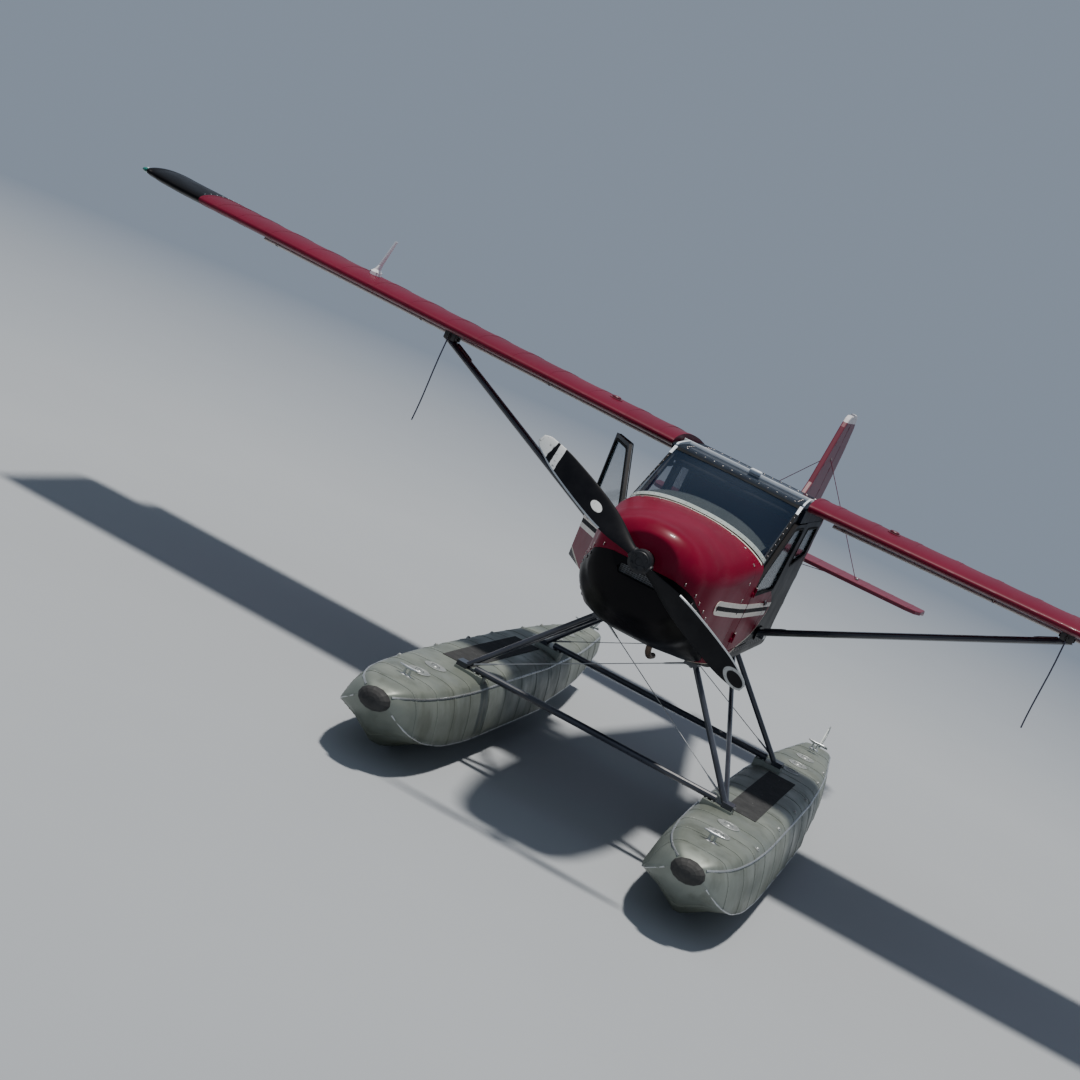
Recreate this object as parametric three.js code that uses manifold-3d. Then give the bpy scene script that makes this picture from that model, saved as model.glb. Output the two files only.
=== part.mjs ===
// A two-seat, high-wing light aircraft standing on two straight floats.
// Millimetres. X runs to the aircraft's left, Y aft and Z up from the ground.
// The origin is on the ground below the middle of its length. A station is a distance aft of the
// wing's leading edge.
import * as THREE from 'three';
import { mergeVertices } from 'three/addons/utils/BufferGeometryUtils.js';
import Module from 'manifold-3d';

const wasm = await Module();
wasm.setup();

// Driving dimensions
const leadY = -1052;
const leadZ = 2400;
const semiSpan = 4900;
const chord = 1260;
const incidence = THREE.MathUtils.degToRad(2.5);
const wingThickness = 0.088;
const wingCamber = 0.02;
const dihedral = Math.tan(THREE.MathUtils.degToRad(1));
const cabinHalf = 500;
const bellyZ = 1250;
const hubZ = 1848;
const floatX = 1050;
const propRadius = 930;
const gap = 0.3;

const black = paint(0x0c0d10, 0.45, 0.1);
const maroon = paint(0x6e1230, 0.3, 0.1);
const pale = paint(0xb9b9b2, 0.5, 0.1);
const hullGrey = paint(0x6d7a74, 0.55, 0.5);
const glass = paint(0x2b3b48, 0.1, 0);
const steel = paint(0x33383d, 0.4, 0.6);
const rubber = paint(0x1a1a1a, 0.9, 0);
const trimGrey = paint(0x55585a, 0.7, 0);
const green = paint(0x0c6b54, 0.2, 0);
const red = paint(0x8c1010, 0.2, 0);
const rope = paint(0x3c3f46, 0.9, 0);

const group = new THREE.Group();

function paint(color, roughness, metalness) {
  return new THREE.MeshStandardMaterial({ color, roughness, metalness });
}

function at(x, station, z) {
  return new THREE.Vector3(x, leadY + station, z);
}

// Solids: closed meshes joined and cut as exact bodies
function solidOf(geometry) {
  const bare = geometry.clone();
  bare.deleteAttribute('normal');
  bare.deleteAttribute('uv');
  const merged = mergeVertices(bare, 1e-3);
  const index = merged.index.array;
  const triVerts = [];
  for (let i = 0; i < index.length; i += 3) {
    const [a, b, c] = [index[i], index[i + 1], index[i + 2]];
    if (a !== b && b !== c && c !== a) {
      triVerts.push(a, b, c);
    }
  }
  return new wasm.Manifold(new wasm.Mesh({
    numProp: 3,
    vertProperties: new Float32Array(merged.attributes.position.array),
    triVerts: new Uint32Array(triVerts),
  }));
}

function geometryOf(solid) {
  const mesh = solid.getMesh();
  const geometry = new THREE.BufferGeometry();
  geometry.setAttribute('position', new THREE.BufferAttribute(new Float32Array(mesh.vertProperties), 3));
  geometry.setIndex(new THREE.BufferAttribute(new Uint32Array(mesh.triVerts), 1));
  geometry.computeVertexNormals();
  return geometry;
}

function join(...geometries) {
  return geometryOf(geometries.map(solidOf).reduce((all, next) => all.add(next)));
}

function cut(geometry, ...tools) {
  return geometryOf(tools.map(solidOf).reduce((rest, tool) => rest.subtract(tool), solidOf(geometry)));
}

function common(a, b) {
  return geometryOf(solidOf(a).intersect(solidOf(b)));
}

function moved(geometry, x, y, z) {
  return geometry.clone().translate(x, y, z);
}

function flipped(geometry) {
  const index = geometry.index.array;
  for (let i = 0; i < index.length; i += 3) {
    [index[i], index[i + 1]] = [index[i + 1], index[i]];
  }
  return geometry;
}

function mirrored(geometry) {
  const bare = geometry.clone();
  bare.deleteAttribute('normal');
  bare.deleteAttribute('uv');
  const other = flipped(mergeVertices(bare, 1e-3).scale(-1, 1, 1));
  other.computeVertexNormals();
  return other;
}

// Lifts a body with the wing's dihedral
function raised(geometry) {
  const places = geometry.attributes.position;
  for (let i = 0; i < places.count; i += 1) {
    places.setZ(i, places.getZ(i) + Math.abs(places.getX(i)) * dihedral);
  }
  return geometry;
}

function box(x0, x1, s0, s1, z0, z1) {
  const body = new THREE.BoxGeometry(x1 - x0, s1 - s0, z1 - z0);
  return body.translate((x0 + x1) / 2, leadY + (s0 + s1) / 2, (z0 + z1) / 2);
}

// A skin lofted through rings of equal point counts, closed at both ends
function loft(rings) {
  const count = rings[0].length;
  const places = rings.flat();
  const index = [];
  for (let r = 0; r + 1 < rings.length; r += 1) {
    for (let i = 0; i < count; i += 1) {
      const a = r * count + i;
      const b = r * count + ((i + 1) % count);
      index.push(a, b, b + count, a, b + count, a + count);
    }
  }
  for (const [start, turn] of [[0, false], [(rings.length - 1) * count, true]]) {
    const middle = new THREE.Vector3();
    for (let i = 0; i < count; i += 1) {
      middle.addScaledVector(places[start + i], 1 / count);
    }
    const hub = places.push(middle) - 1;
    for (let i = 0; i < count; i += 1) {
      const a = start + i;
      const b = start + ((i + 1) % count);
      index.push(hub, turn ? a : b, turn ? b : a);
    }
  }
  const geometry = new THREE.BufferGeometry().setFromPoints(places);
  geometry.setIndex(index);
  return volume(geometry) < 0 ? flipped(geometry) : geometry;
}

function volume(geometry) {
  const places = geometry.attributes.position;
  const index = geometry.index.array;
  const corner = (i) => new THREE.Vector3().fromBufferAttribute(places, index[i]);
  let sum = 0;
  for (let i = 0; i < index.length; i += 3) {
    sum += corner(i).dot(corner(i + 1).cross(corner(i + 2)));
  }
  return sum;
}

function shapeOf(points, hole) {
  const outline = points.map(([u, v]) => new THREE.Vector2(u, v));
  const shape = new THREE.Shape(THREE.ShapeUtils.isClockWise(outline) ? outline.reverse() : outline);
  if (hole) {
    shape.holes.push(new THREE.Path(hole.map(([u, v]) => new THREE.Vector2(u, v))));
  }
  return shape;
}

function extruded(shape, depth, round) {
  return new THREE.ExtrudeGeometry(shape, {
    depth: depth - 2 * (round || 0),
    bevelEnabled: Boolean(round),
    bevelThickness: round || 0,
    bevelSize: round || 0,
    bevelOffset: -(round || 0),
    bevelSegments: 2,
    curveSegments: 6,
  }).translate(0, 0, round || 0);
}

// A plate seen from the side: outline in station and height, from x0 to x1
function sidePlate(points, x0, x1, { hole, round } = {}) {
  const body = extruded(shapeOf(points, hole), x1 - x0, round);
  body.applyMatrix4(new THREE.Matrix4().set(0, 0, 1, x0, 1, 0, 0, leadY, 0, 1, 0, 0, 0, 0, 0, 1));
  return body;
}

// A plate seen from the front: outline in x and height, from station s0 to s1
function frontPlate(points, s0, s1, { hole, round } = {}) {
  const body = extruded(shapeOf(points, hole), s1 - s0, round);
  body.applyMatrix4(new THREE.Matrix4().set(1, 0, 0, 0, 0, 0, -1, leadY + s1, 0, 1, 0, 0, 0, 0, 0, 1));
  return body;
}

// A level plate: outline in x and station, from z0 to z1
function levelPlate(points, z0, z1, { round } = {}) {
  return extruded(shapeOf(points), z1 - z0, round).translate(0, leadY, z0);
}

function roundSection(radius, sides) {
  const points = [];
  for (let i = 0; i < sides; i += 1) {
    const turn = (2 * Math.PI * (i + 0.5)) / sides;
    points.push([radius * Math.cos(turn), radius * Math.sin(turn)]);
  }
  return points;
}

// A streamlined strut section: blunt ahead, fine behind
function fairedSection(length, thickness) {
  const points = [];
  for (let i = 0; i < 14; i += 1) {
    const turn = (2 * Math.PI * i) / 14;
    const fullness = 1 - 0.35 * Math.cos(turn);
    points.push([(length / 2) * Math.cos(turn), (thickness / 2) * Math.sin(turn) * fullness]);
  }
  return points;
}

function flatSection(width, thickness) {
  const [u, v] = [width / 2, thickness / 2];
  return [[-u, -v], [u, -v], [u, v], [-u, v]];
}

// A straight bar of a given section; the section's first direction leans towards wide
function bar(a, b, section, wide = new THREE.Vector3(0, 1, 0)) {
  const along = b.clone().sub(a);
  const length = along.length();
  along.normalize();
  const across = new THREE.Vector3().crossVectors(along, wide).normalize();
  const first = new THREE.Vector3().crossVectors(across, along);
  const body = extruded(shapeOf(section), length);
  return body.applyMatrix4(new THREE.Matrix4().makeBasis(first, across, along).setPosition(a));
}

function tube(a, b, radius, sides = 10) {
  const upright = Math.abs(b.y - a.y) > 0.9 * a.distanceTo(b);
  return bar(a, b, roundSection(radius, sides), new THREE.Vector3(upright ? 1 : 0, upright ? 0 : 1, 0));
}

function bentTube(points, radius, sides, steps) {
  const path = new THREE.CatmullRomCurve3(points, false, 'centripetal');
  return new THREE.ExtrudeGeometry(shapeOf(roundSection(radius, sides)), {
    steps,
    bevelEnabled: false,
    extrudePath: path,
  });
}

function place(name, geometry, material) {
  const mesh = new THREE.Mesh(geometry, material);
  mesh.name = name;
  group.add(mesh);
}

function placePair(name, geometry, material) {
  place(`${name}_left`, geometry, material);
  place(`${name}_right`, mirrored(geometry), material);
}

// Wing section: four-digit thickness on a parabolic camber line, as outline points [station, z]
function aerofoil(start, length, thickness, camber, z, tilt) {
  const steps = 14;
  const upper = [];
  const lower = [];
  for (let i = 0; i <= steps; i += 1) {
    const u = 0.5 * (1 - Math.cos((Math.PI * i) / steps));
    const roots = 0.2969 * Math.sqrt(u) - 0.126 * u - 0.3516 * u ** 2 + 0.2843 * u ** 3 - 0.1036 * u ** 4;
    const half = 5 * thickness * roots;
    const mean = 4 * camber * u * (1 - u);
    for (const [list, v] of [[upper, mean + half], [lower, mean - half]]) {
      const s = length * (u * Math.cos(tilt) + v * Math.sin(tilt));
      const h = length * (v * Math.cos(tilt) - u * Math.sin(tilt));
      list.push([start + s, z + h]);
    }
  }
  return [...upper, ...lower.slice(1, -1).reverse()];
}

// Fair curves through a table's rows: each column is a cubic in station, with rows added between
function faired(table, between = 2) {
  const columns = table[0].map((_, c) => table.map((row) => row[c]));
  const stations = columns[0];
  const last = table.length - 1;
  const slopes = columns.map((values) => {
    const rise = values.slice(1).map((value, i) => (value - values[i]) / (stations[i + 1] - stations[i]));
    return values.map((_, i) => {
      if (i === 0 || i === last) {
        return rise[i === 0 ? 0 : last - 1];
      }
      const [before, after] = [stations[i] - stations[i - 1], stations[i + 1] - stations[i]];
      const level = rise[i - 1] * rise[i] <= 0;
      return level ? 0 : (rise[i - 1] * after + rise[i] * before) / (before + after);
    });
  });
  const rows = [];
  for (let i = 0; i < last; i += 1) {
    const span = stations[i + 1] - stations[i];
    for (let k = 0; k <= between; k += 1) {
      const t = k / (between + 1);
      const [t2, t3] = [t * t, t * t * t];
      rows.push(columns.map((values, c) => (
        values[i] * (2 * t3 - 3 * t2 + 1) + values[i + 1] * (3 * t2 - 2 * t3)
        + span * (slopes[c][i] * (t3 - 2 * t2 + t) + slopes[c][i + 1] * (t3 - t2))
      )));
    }
  }
  return [...rows, table[last]];
}

// Body ring: flat sides between elliptical corners
// columns: station, half width, top, bottom, top corner x and z, bottom corner x and z
function bodyRing([station, half, top, bottom, topX, topZ, lowX, lowZ], inset = 0) {
  const steps = 6;
  const corners = [
    [half - topX, top - topZ, topX - inset, topZ - inset, 0, 1],
    [-(half - topX), top - topZ, topX - inset, topZ - inset, 1, -1],
    [-(half - lowX), bottom + lowZ, lowX - inset, lowZ - inset, 2, -1],
    [half - lowX, bottom + lowZ, lowX - inset, lowZ - inset, 3, 1],
  ];
  const ring = [];
  for (const [x, z, radiusX, radiusZ, quarter] of corners) {
    for (let i = 0; i <= steps; i += 1) {
      const turn = (quarter + i / steps) * (Math.PI / 2);
      ring.push(at(x + radiusX * Math.cos(turn), station, z + radiusZ * Math.sin(turn)));
    }
  }
  return ring;
}

function bodyLoft(table, inset) {
  return loft(faired(table).map((row) => bodyRing(row, inset)));
}

// Wings: fabric-covered, solid here, with strut lugs and flaperon hanger arms below
const wingRoot = cabinHalf + 3;
const tipStart = semiSpan - 500;
const wingSection = aerofoil(0, chord, wingThickness, wingCamber, leadZ, incidence);
const liftStrutX = 2330;
const hangerXs = [640, 1790, 2930, 4260];
const hingeStation = 1240;
const hingeZ = 2255;
const hangerHalf = 4;
// columns: inner and outer x, first and last station, underside and top height
const wingLugs = [
  [2285, 2375, 250, 380, 2335, 2415],
];
const hangerOutline = [
  [960, 2352], [1150, 2352], [1258, 2264], [1258, 2246], [1248, 2238], [1232, 2238], [1120, 2296],
];

const eyeStation = 235;
const eyeLow = 2346;
const eyeRadius = 4;
const eyePath = [[-12, 2412], [-12, 2362], [0, eyeLow], [12, 2362], [12, 2412]].map(([s, z]) => (
  at(liftStrutX, eyeStation + s, z)
));

const bareWing = raised(sidePlate(wingSection, wingRoot, tipStart));
const wing = join(
  bareWing,
  bentTube(eyePath, eyeRadius, 8, 12),
  ...wingLugs.map((lug) => box(...lug)),
  ...hangerXs.map((x) => raised(sidePlate(hangerOutline, x - hangerHalf, x + hangerHalf))),
);
placePair('wing', wing, maroon);

// Mooring ropes: one hangs from each wing's eye, just ahead of the strut lug
// columns: offset in x, offset in station, drop below the eye
const ropeRoute = [
  [0, 0, 0], [0, 0, 20], [1, 1, 60], [2, 2, 105], [3, 3, 150], [3, 5, 195], [3, 6, 240], [2, 7, 285],
  [1, 8, 330], [0, 8, 375], [-1, 8, 420], [-2, 7, 465], [-2, 6, 510], [-2, 5, 555], [-1, 4, 600], [0, 4, 630],
];
const ropeTop = eyeLow - eyeRadius - gap;
const ropePath = ropeRoute.map(([x, s, drop]) => at(liftStrutX + x, eyeStation + s, ropeTop - drop));
placePair('mooring_rope', bentTube(ropePath, 5, 10, 26), rope);

// Wing tips: glass-fibre caps, black
// columns: x, start station, length, share of the wing's thickness, lift
const tipSections = [
  [tipStart + gap, 0, chord, 1, 0],
  [tipStart + 300, 2, 1248, 0.98, 3],
  [tipStart + 430, 10, 1220, 0.9, 8],
  [semiSpan - 14, 26, 1175, 0.68, 14],
  [semiSpan, 60, 1110, 0.26, 18],
];
const tip = raised(loft(tipSections.map(([x, start, length, share, lift]) => (
  aerofoil(start, length, share * wingThickness, wingCamber, leadZ + lift, incidence).map(([s, z]) => at(x, s, z))
))));
placePair('wingtip', tip, black);

// Navigation lights at the tips' front corners, green right and red left
const lightStation = 72;
const lightZ = leadZ + 10 + semiSpan * dihedral;
const light = new THREE.SphereGeometry(1, 14, 8);
light.scale(26, 58, 19).translate(semiSpan + 6, leadY + lightStation, lightZ);
const lamp = cut(light, moved(tip, gap, 0, 0));
place('nav_light_left', lamp, red);
place('nav_light_right', mirrored(lamp), green);

// Flaperons: full-span surfaces hung below the trailing edge, notched round each hanger arm
const flaperonSection = aerofoil(1175, 300, 0.12, 0.01, hingeZ, THREE.MathUtils.degToRad(1));
const flaperonEnds = [560, 4380];
const flaperon = cut(
  sidePlate(flaperonSection, ...flaperonEnds),
  ...hangerXs.map((x) => box(x - 10, x + 10, 1160, 1268, 2200, 2300)),
);
placePair('flaperon', raised(flaperon), pale);

// Antenna: a white whip on a tapered base, on top of the right wing
const antennaX = -3062;
const antennaStation = 330;
// columns: lean inboard, height, half length, half width
const mastSections = [
  [0, 2490, 66, 42],
  [0, 2535, 60, 38],
  [4, 2556, 40, 20],
  [12, 2590, 27, 13],
  [52, 2790, 14, 9],
];
const antenna = loft(mastSections.map(([lean, z, length, width]) => (
  roundSection(1, 10).map(([u, v]) => at(antennaX + lean + width * v, antennaStation + length * u, z))
)));
place('antenna', cut(antenna, moved(mirrored(bareWing), 0, 0, gap)), pale);

// Roof between the wings: ribs along both sides and a skin with a skylight, lower than the wings' crests
const roofEnd = 1000;
const roofHalf = cabinHalf - 3;
const ribWidth = 22;
const doorTop = 2276;
const skyHalf = 400;
const skyEnds = [60, 880];
const roofLine = [
  [0, 2372], [0, 2392], [22, 2401], [110, 2411], [300, 2417], [550, 2416], [800, 2411], [roofEnd, 2405],
  [roofEnd, 2352], [24, 2352], [24, 2372],
];
const skinLow = 2386;
const roofBlock = sidePlate(roofLine, -roofHalf, roofHalf);
const roofSkin = cut(
  roofBlock,
  box(-roofHalf - 1, roofHalf + 1, 40, roofEnd + 20, 2200, skinLow),
);
const ribs = [-1, 1].map((side) => {
  const [low, high] = side > 0 ? [roofHalf - ribWidth, roofHalf] : [-roofHalf, -roofHalf + ribWidth];
  return join(
    common(roofBlock, box(low, high, -50, roofEnd, 2200, 2600)),
    box(low, high, 24, roofEnd, doorTop + 7, 2362),
  );
});
const skyOpening = box(-skyHalf, skyHalf, ...skyEnds, 2200, 2600);
place('roof', join(cut(roofSkin, skyOpening), ...ribs), pale);
const skyPane = common(
  cut(roofBlock, moved(roofBlock, 0, 0, -5)),
  box(-skyHalf + gap, skyHalf - gap, skyEnds[0] + gap, skyEnds[1] - gap, 2380, 2600),
);
place('skylight', skyPane, glass);

// Cowl: a nose and upper shell and a chin shell round the engine, split along a slant, open at the back
const cowlRear = -752;
const cowlSkin = 12;
const cowlTable = [
  [-1625, 205, 2012, 1690, 195, 150, 195, 150],
  [-1585, 280, 2052, 1575, 268, 205, 262, 215],
  [-1450, 365, 2090, 1430, 350, 255, 335, 265],
  [-1150, 438, 2122, 1320, 424, 270, 372, 265],
  [cowlRear, 490, 2142, 1262, 470, 205, 240, 170],
];
const cowlInside = cowlTable.map((row, i) => [
  row[0] + [14, 10, 0, 0, 30][i], row[1], row[2], row[3], row[4], row[5], row[6], row[7],
]);
const shaftHole = tube(at(0, -1700, hubZ), at(0, -1550, hubZ), 58, 16);
const cowlShell = cut(bodyLoft(cowlTable), bodyLoft(cowlInside, cowlSkin), shaftHole);
const splitFront = [-1700, 1862];
const splitRear = [-700, 1272];
const upperCut = sidePlate([splitFront, splitRear, [-700, 2600], [-1700, 2600]], -700, 700);
const lowerCut = moved(sidePlate([splitFront, [-1700, 1000], [-700, 1000], splitRear], -700, 700), 0, 0, -gap);
const chinInlet = frontPlate([[-120, 1715], [120, 1715], [140, 1745], [120, 1775], [-120, 1775], [-140, 1745]],
  -1700, -1560);
const bellyOutlet = box(-170, 170, -960, -790, 1150, 1360);
place('cowl_upper', cut(common(cowlShell, upperCut), bellyOutlet), maroon);
place('cowl_lower', cut(common(cowlShell, lowerCut), chinInlet, bellyOutlet), black);

// Engine with its mount: one plain block where the real one sits, against the firewall
const engineFront = -1420;
place('engine_block', box(-215, 215, engineFront, cowlRear + 4 - gap, 1600, 1985), steel);

// Exhaust: a bent pipe out of the belly outlet
const pipePath = [at(110, -930, 1420), at(110, -925, 1330), at(112, -880, 1240), at(115, -800, 1200), at(118, -690, 1190)];
place('exhaust_pipe', bentTube(pipePath, 20, 10, 14), steel);

// Propeller: two broad composite blades clamped in a hub, on a flange that runs into the cowl
const propStation = -1735;
const bladeLean = Math.atan2(0.385, 0.84);
// columns: radius, width, thickness, pitch in degrees
const bladeSections = [
  [40, 62, 44, 60],
  [110, 84, 34, 46],
  [230, 138, 24, 34],
  [420, 172, 18, 25],
  [650, 166, 13, 19],
  [830, 144, 9, 16],
  [905, 112, 7, 15],
  [propRadius, 62, 4, 15],
];
const blade = loft(faired(bladeSections, 1).map(([radius, width, thickness, pitch]) => (
  roundSection(1, 14).map(([u, v]) => {
    const turn = THREE.MathUtils.degToRad(pitch);
    const [p, q] = [(u * width) / 2, (v * thickness) / 2];
    return new THREE.Vector3(radius, p * Math.sin(turn) - q * Math.cos(turn), p * Math.cos(turn) + q * Math.sin(turn));
  })
)));
const hub = new THREE.CylinderGeometry(72, 72, 66, 24);
const plate = new THREE.CylinderGeometry(60, 60, 12, 20).translate(0, -38, 0);
const propeller = join(hub, plate, blade, blade.clone().rotateY(Math.PI));
propeller.rotateY(Math.PI + bladeLean).translate(0, leadY + propStation, hubZ);
place('propeller', propeller, black);
const shaftStart = propStation + 33 + gap;
const shaft = tube(at(0, shaftStart, hubZ), at(0, engineFront - gap, hubZ), 45, 16);
const flange = tube(at(0, shaftStart, hubZ), at(0, shaftStart + 14, hubZ), 64, 16);
place('prop_flange', join(shaft, flange), steel);

// Boot cowl and firewall: from the engine to the door frames, under the windscreen
const bootFront = cowlRear + 4;
const bootRear = -560;
const bootTable = [
  [bootFront, 490, 2142, 1262, 470, 205, 240, 170],
  [bootRear, cabinHalf, 2142, bellyZ, 480, 190, 110, 90],
];
const bootInside = [
  [bootFront + 28, 490, 2142, 1262, 470, 205, 240, 170],
  [bootRear + 20, cabinHalf, 2142, bellyZ, 480, 190, 110, 90],
];
const hingeX = cabinHalf + 9;
const hingeStationDoor = -551;
const bootKnuckles = [[1470, 1500], [1790, 1820]];
const knuckleArms = bootKnuckles.flatMap(([z0, z1]) => [-1, 1].map((side) => join(
  tube(at(side * hingeX, hingeStationDoor, z0), at(side * hingeX, hingeStationDoor, z1), 7),
  box(...(side > 0 ? [492, 508] : [-508, -492]), -585, hingeStationDoor, z0, z1),
)));
const bootShell = cut(bodyLoft(bootTable), bodyLoft(bootInside, 22));
place('boot_cowl', join(bootShell, ...knuckleArms), maroon);

// Windscreen: one curved sheet from the boot cowl's top to the wing's nose
const screenSteps = 18;
const screenRows = 3;
const screenThick = 5;
const baseSpread = THREE.MathUtils.degToRad(80);
function screenPoint(t, v, out) {
  const turn = t * baseSpread;
  const sweep = (1 - Math.cos(turn)) / (1 - Math.cos(baseSpread));
  const x = 484 * Math.sin(turn);
  const inboard = Math.max(0, (Math.abs(x) - 20) / 480);
  const base = at(x, -738 + 174 * sweep, 1958 + 190 * Math.sqrt(1 - inboard * inboard));
  const top = at(470 * t, -10, 2386);
  const point = base.lerp(top, v);
  const bulge = 26 * Math.sin(Math.PI * v) * (1 - t * t);
  const normal = new THREE.Vector3(0.55 * Math.sin(turn), -0.62, 0.72).normalize();
  return point.addScaledVector(normal, bulge + out);
}
const screenRings = [];
for (let i = 0; i <= screenSteps; i += 1) {
  const t = (2 * i) / screenSteps - 1;
  const ring = [];
  for (let r = 0; r <= screenRows; r += 1) {
    ring.push(screenPoint(t, r / screenRows, screenThick));
  }
  for (let r = screenRows; r >= 0; r -= 1) {
    ring.push(screenPoint(t, r / screenRows, 0));
  }
  screenRings.push(ring);
}
place('windscreen', loft(screenRings), glass);

// Cabin tub: floor and sills, one folded channel
const sillTop = 1393;
const tubThick = 25;
function tubOutline(half, low, radiusX, radiusZ) {
  const points = [];
  for (let i = 0; i <= 5; i += 1) {
    const turn = (i / 5) * (Math.PI / 2);
    points.push([half - radiusX + radiusX * Math.cos(turn), low + radiusZ - radiusZ * Math.sin(turn)]);
  }
  return points;
}
const outerHalf = tubOutline(cabinHalf, bellyZ, 110, 90);
const innerHalf = tubOutline(cabinHalf - tubThick, bellyZ + tubThick, 60, 45);
const mirrorOf = (points) => points.map(([x, z]) => [-x, z]).reverse();
const tubProfile = [
  [cabinHalf, sillTop], ...outerHalf, ...mirrorOf(outerHalf), [-cabinHalf, sillTop],
  [-cabinHalf + tubThick, sillTop], ...mirrorOf(innerHalf).reverse(), ...innerHalf.slice().reverse(),
  [cabinHalf - tubThick, sillTop],
];
place('cabin_tub', frontPlate(tubProfile, bootRear + gap, roofEnd), maroon);

// Side panels behind the doors, each with a quarter window and the lift struts' fitting
const panelBottom = sillTop + gap;
const panelTop = doorTop + 7 - gap;
const panelOutline = [[157, panelBottom], [roofEnd, panelBottom], [roofEnd, panelTop], [340, panelTop]];
const quarterOutline = [[430, 1960], [900, 2030], [900, 2230], [485, 2230]];
const strutFoot = [495, 450, 1450];
const panel = join(
  sidePlate(panelOutline, cabinHalf - tubThick, cabinHalf, { hole: quarterOutline }),
  box(cabinHalf - 5, cabinHalf + 12, 380, 520, 1405, 1495),
);
placePair('side_panel', panel, maroon);
const paneInset = [[430.5, 1960.5], [899.7, 2030.4], [899.7, 2229.7], [485.4, 2229.7]];
placePair('quarter_window', sidePlate(paneInset, cabinHalf - 12, cabinHalf - 8), glass);

// Tube frame: screen pillars, door posts, rails and cross tubes, welded into one
const frameX = cabinHalf - 41;
const sideways = new THREE.Vector3(1, 0, 0);
const pillarOutline = [[-556, 1878], [-556, 1972], [-24, 2350], [40, 2350], [40, 2250], [-84, 2250]];
const frameParts = [];
for (const side of [-1, 1]) {
  const x = side * frameX;
  frameParts.push(sidePlate(pillarOutline, x - 12, x + 12));
  frameParts.push(bar(at(x, 178, sillTop - 60), at(x, 357, 2262), flatSection(24, 38), sideways));
  frameParts.push(tube(at(x, 40, 2262), at(x, 980, 2262), 12));
}
for (const [station, z] of [[10, 2310], [357, 2262], [960, 2262]]) {
  frameParts.push(tube(at(-frameX, station, z), at(frameX, station, z), 12));
}
const frameTrim = [
  box(-520, 520, -700, bootRear + gap, 1700, 2400),
  box(-520, 520, 100, 300, 1200, bellyZ + 150),
];
place('cabin_frame', cut(join(...frameParts), ...frameTrim), steel);

// Instrument panel across the boot cowl's rear opening
const panelShape = [];
for (let i = 0; i <= 14; i += 1) {
  const turn = (i / 14) * Math.PI;
  panelShape.push([430 * Math.cos(turn), 1940 + 165 * Math.sin(turn)]);
}
panelShape.push([-430, 1800], [430, 1800]);
place('instrument_panel', frontPlate(panelShape, -600, -570), trimGrey);

// Seats: two upholstered buckets on the floor
const seatOutline = [
  [60, 1276], [430, 1276], [560, 1780], [552, 1975], [500, 1990], [468, 1800], [400, 1560], [360, 1530],
  [60, 1570], [20, 1545], [30, 1500],
];
const seatX = [40, 410];
placePair('seat', sidePlate(seatOutline, ...seatX, { round: 18 }), trimGrey);

// Control stick between the seats, forked to both sides
const stick = join(
  tube(at(0, -150, 1277), at(0, -130, 1560), 14),
  bar(at(-150, -125, 1640), at(0, -130, 1545), roundSection(11, 10)),
  bar(at(150, -125, 1640), at(0, -130, 1545), roundSection(11, 10)),
  tube(at(-150, -125, 1630), at(-155, -120, 1760), 13),
  tube(at(150, -125, 1630), at(155, -120, 1760), 13),
);
place('control_stick', stick, black);

// Rudder pedals: four pads on one cross tube
const pedals = join(
  tube(at(-380, -520, 1330), at(380, -520, 1330), 10),
  ...[-330, -150, 150, 330].map((x) => box(x - 40, x + 40, -530, -518, 1325, 1480)),
  ...[-240, 240].map((x) => box(x - 20, x + 20, -535, -505, 1275 + gap, 1330)),
);
place('rudder_pedals', pedals, steel);

// Doors: hinged at the front, each with its window; the right one stands ajar
const doorInner = cabinHalf - 24;
const doorOutline = [[-545, 1400], [-545, 1895], [-62, doorTop], [332, doorTop], [150, 1400]];
const doorWindow = [[-500, 1800], [-500, 1885], [-48, 2238], [285, 2238], [195, 1800]];
const doorPane = [[-499.6, 1800.4], [-499.6, 1884.7], [-47.8, 2237.6], [284.5, 2237.6], [194.6, 1800.4]];
const doorKnuckles = [[1502, 1532], [1822, 1852]];
const doorBody = join(
  sidePlate(doorOutline, doorInner, cabinHalf, { hole: doorWindow }),
  ...doorKnuckles.flatMap(([z0, z1]) => [
    tube(at(hingeX, hingeStationDoor, z0), at(hingeX, hingeStationDoor, z1), 7),
    box(cabinHalf - 6, cabinHalf + 8, hingeStationDoor + 4, -520, z0, z1),
  ]),
);
const doorGlass = sidePlate(doorPane, cabinHalf - 14, cabinHalf - 9);
const ajar = THREE.MathUtils.degToRad(29);

function hung(geometry, side, opening) {
  const pivot = at(side * hingeX, hingeStationDoor, 0);
  const leaf = side > 0 ? geometry.clone() : mirrored(geometry);
  leaf.translate(-pivot.x, -pivot.y, 0);
  const mesh = new THREE.Mesh(leaf);
  mesh.position.copy(pivot);
  mesh.rotation.z = -side * opening;
  return mesh;
}
for (const [side, suffix, opening] of [[1, 'left', 0], [-1, 'right', ajar]]) {
  for (const [name, geometry, material] of [['door', doorBody, maroon], ['door_glass', doorGlass, glass]]) {
    const mesh = hung(geometry, side, opening);
    mesh.name = `${name}_${suffix}`;
    mesh.material = material;
    group.add(mesh);
  }
}

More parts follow.
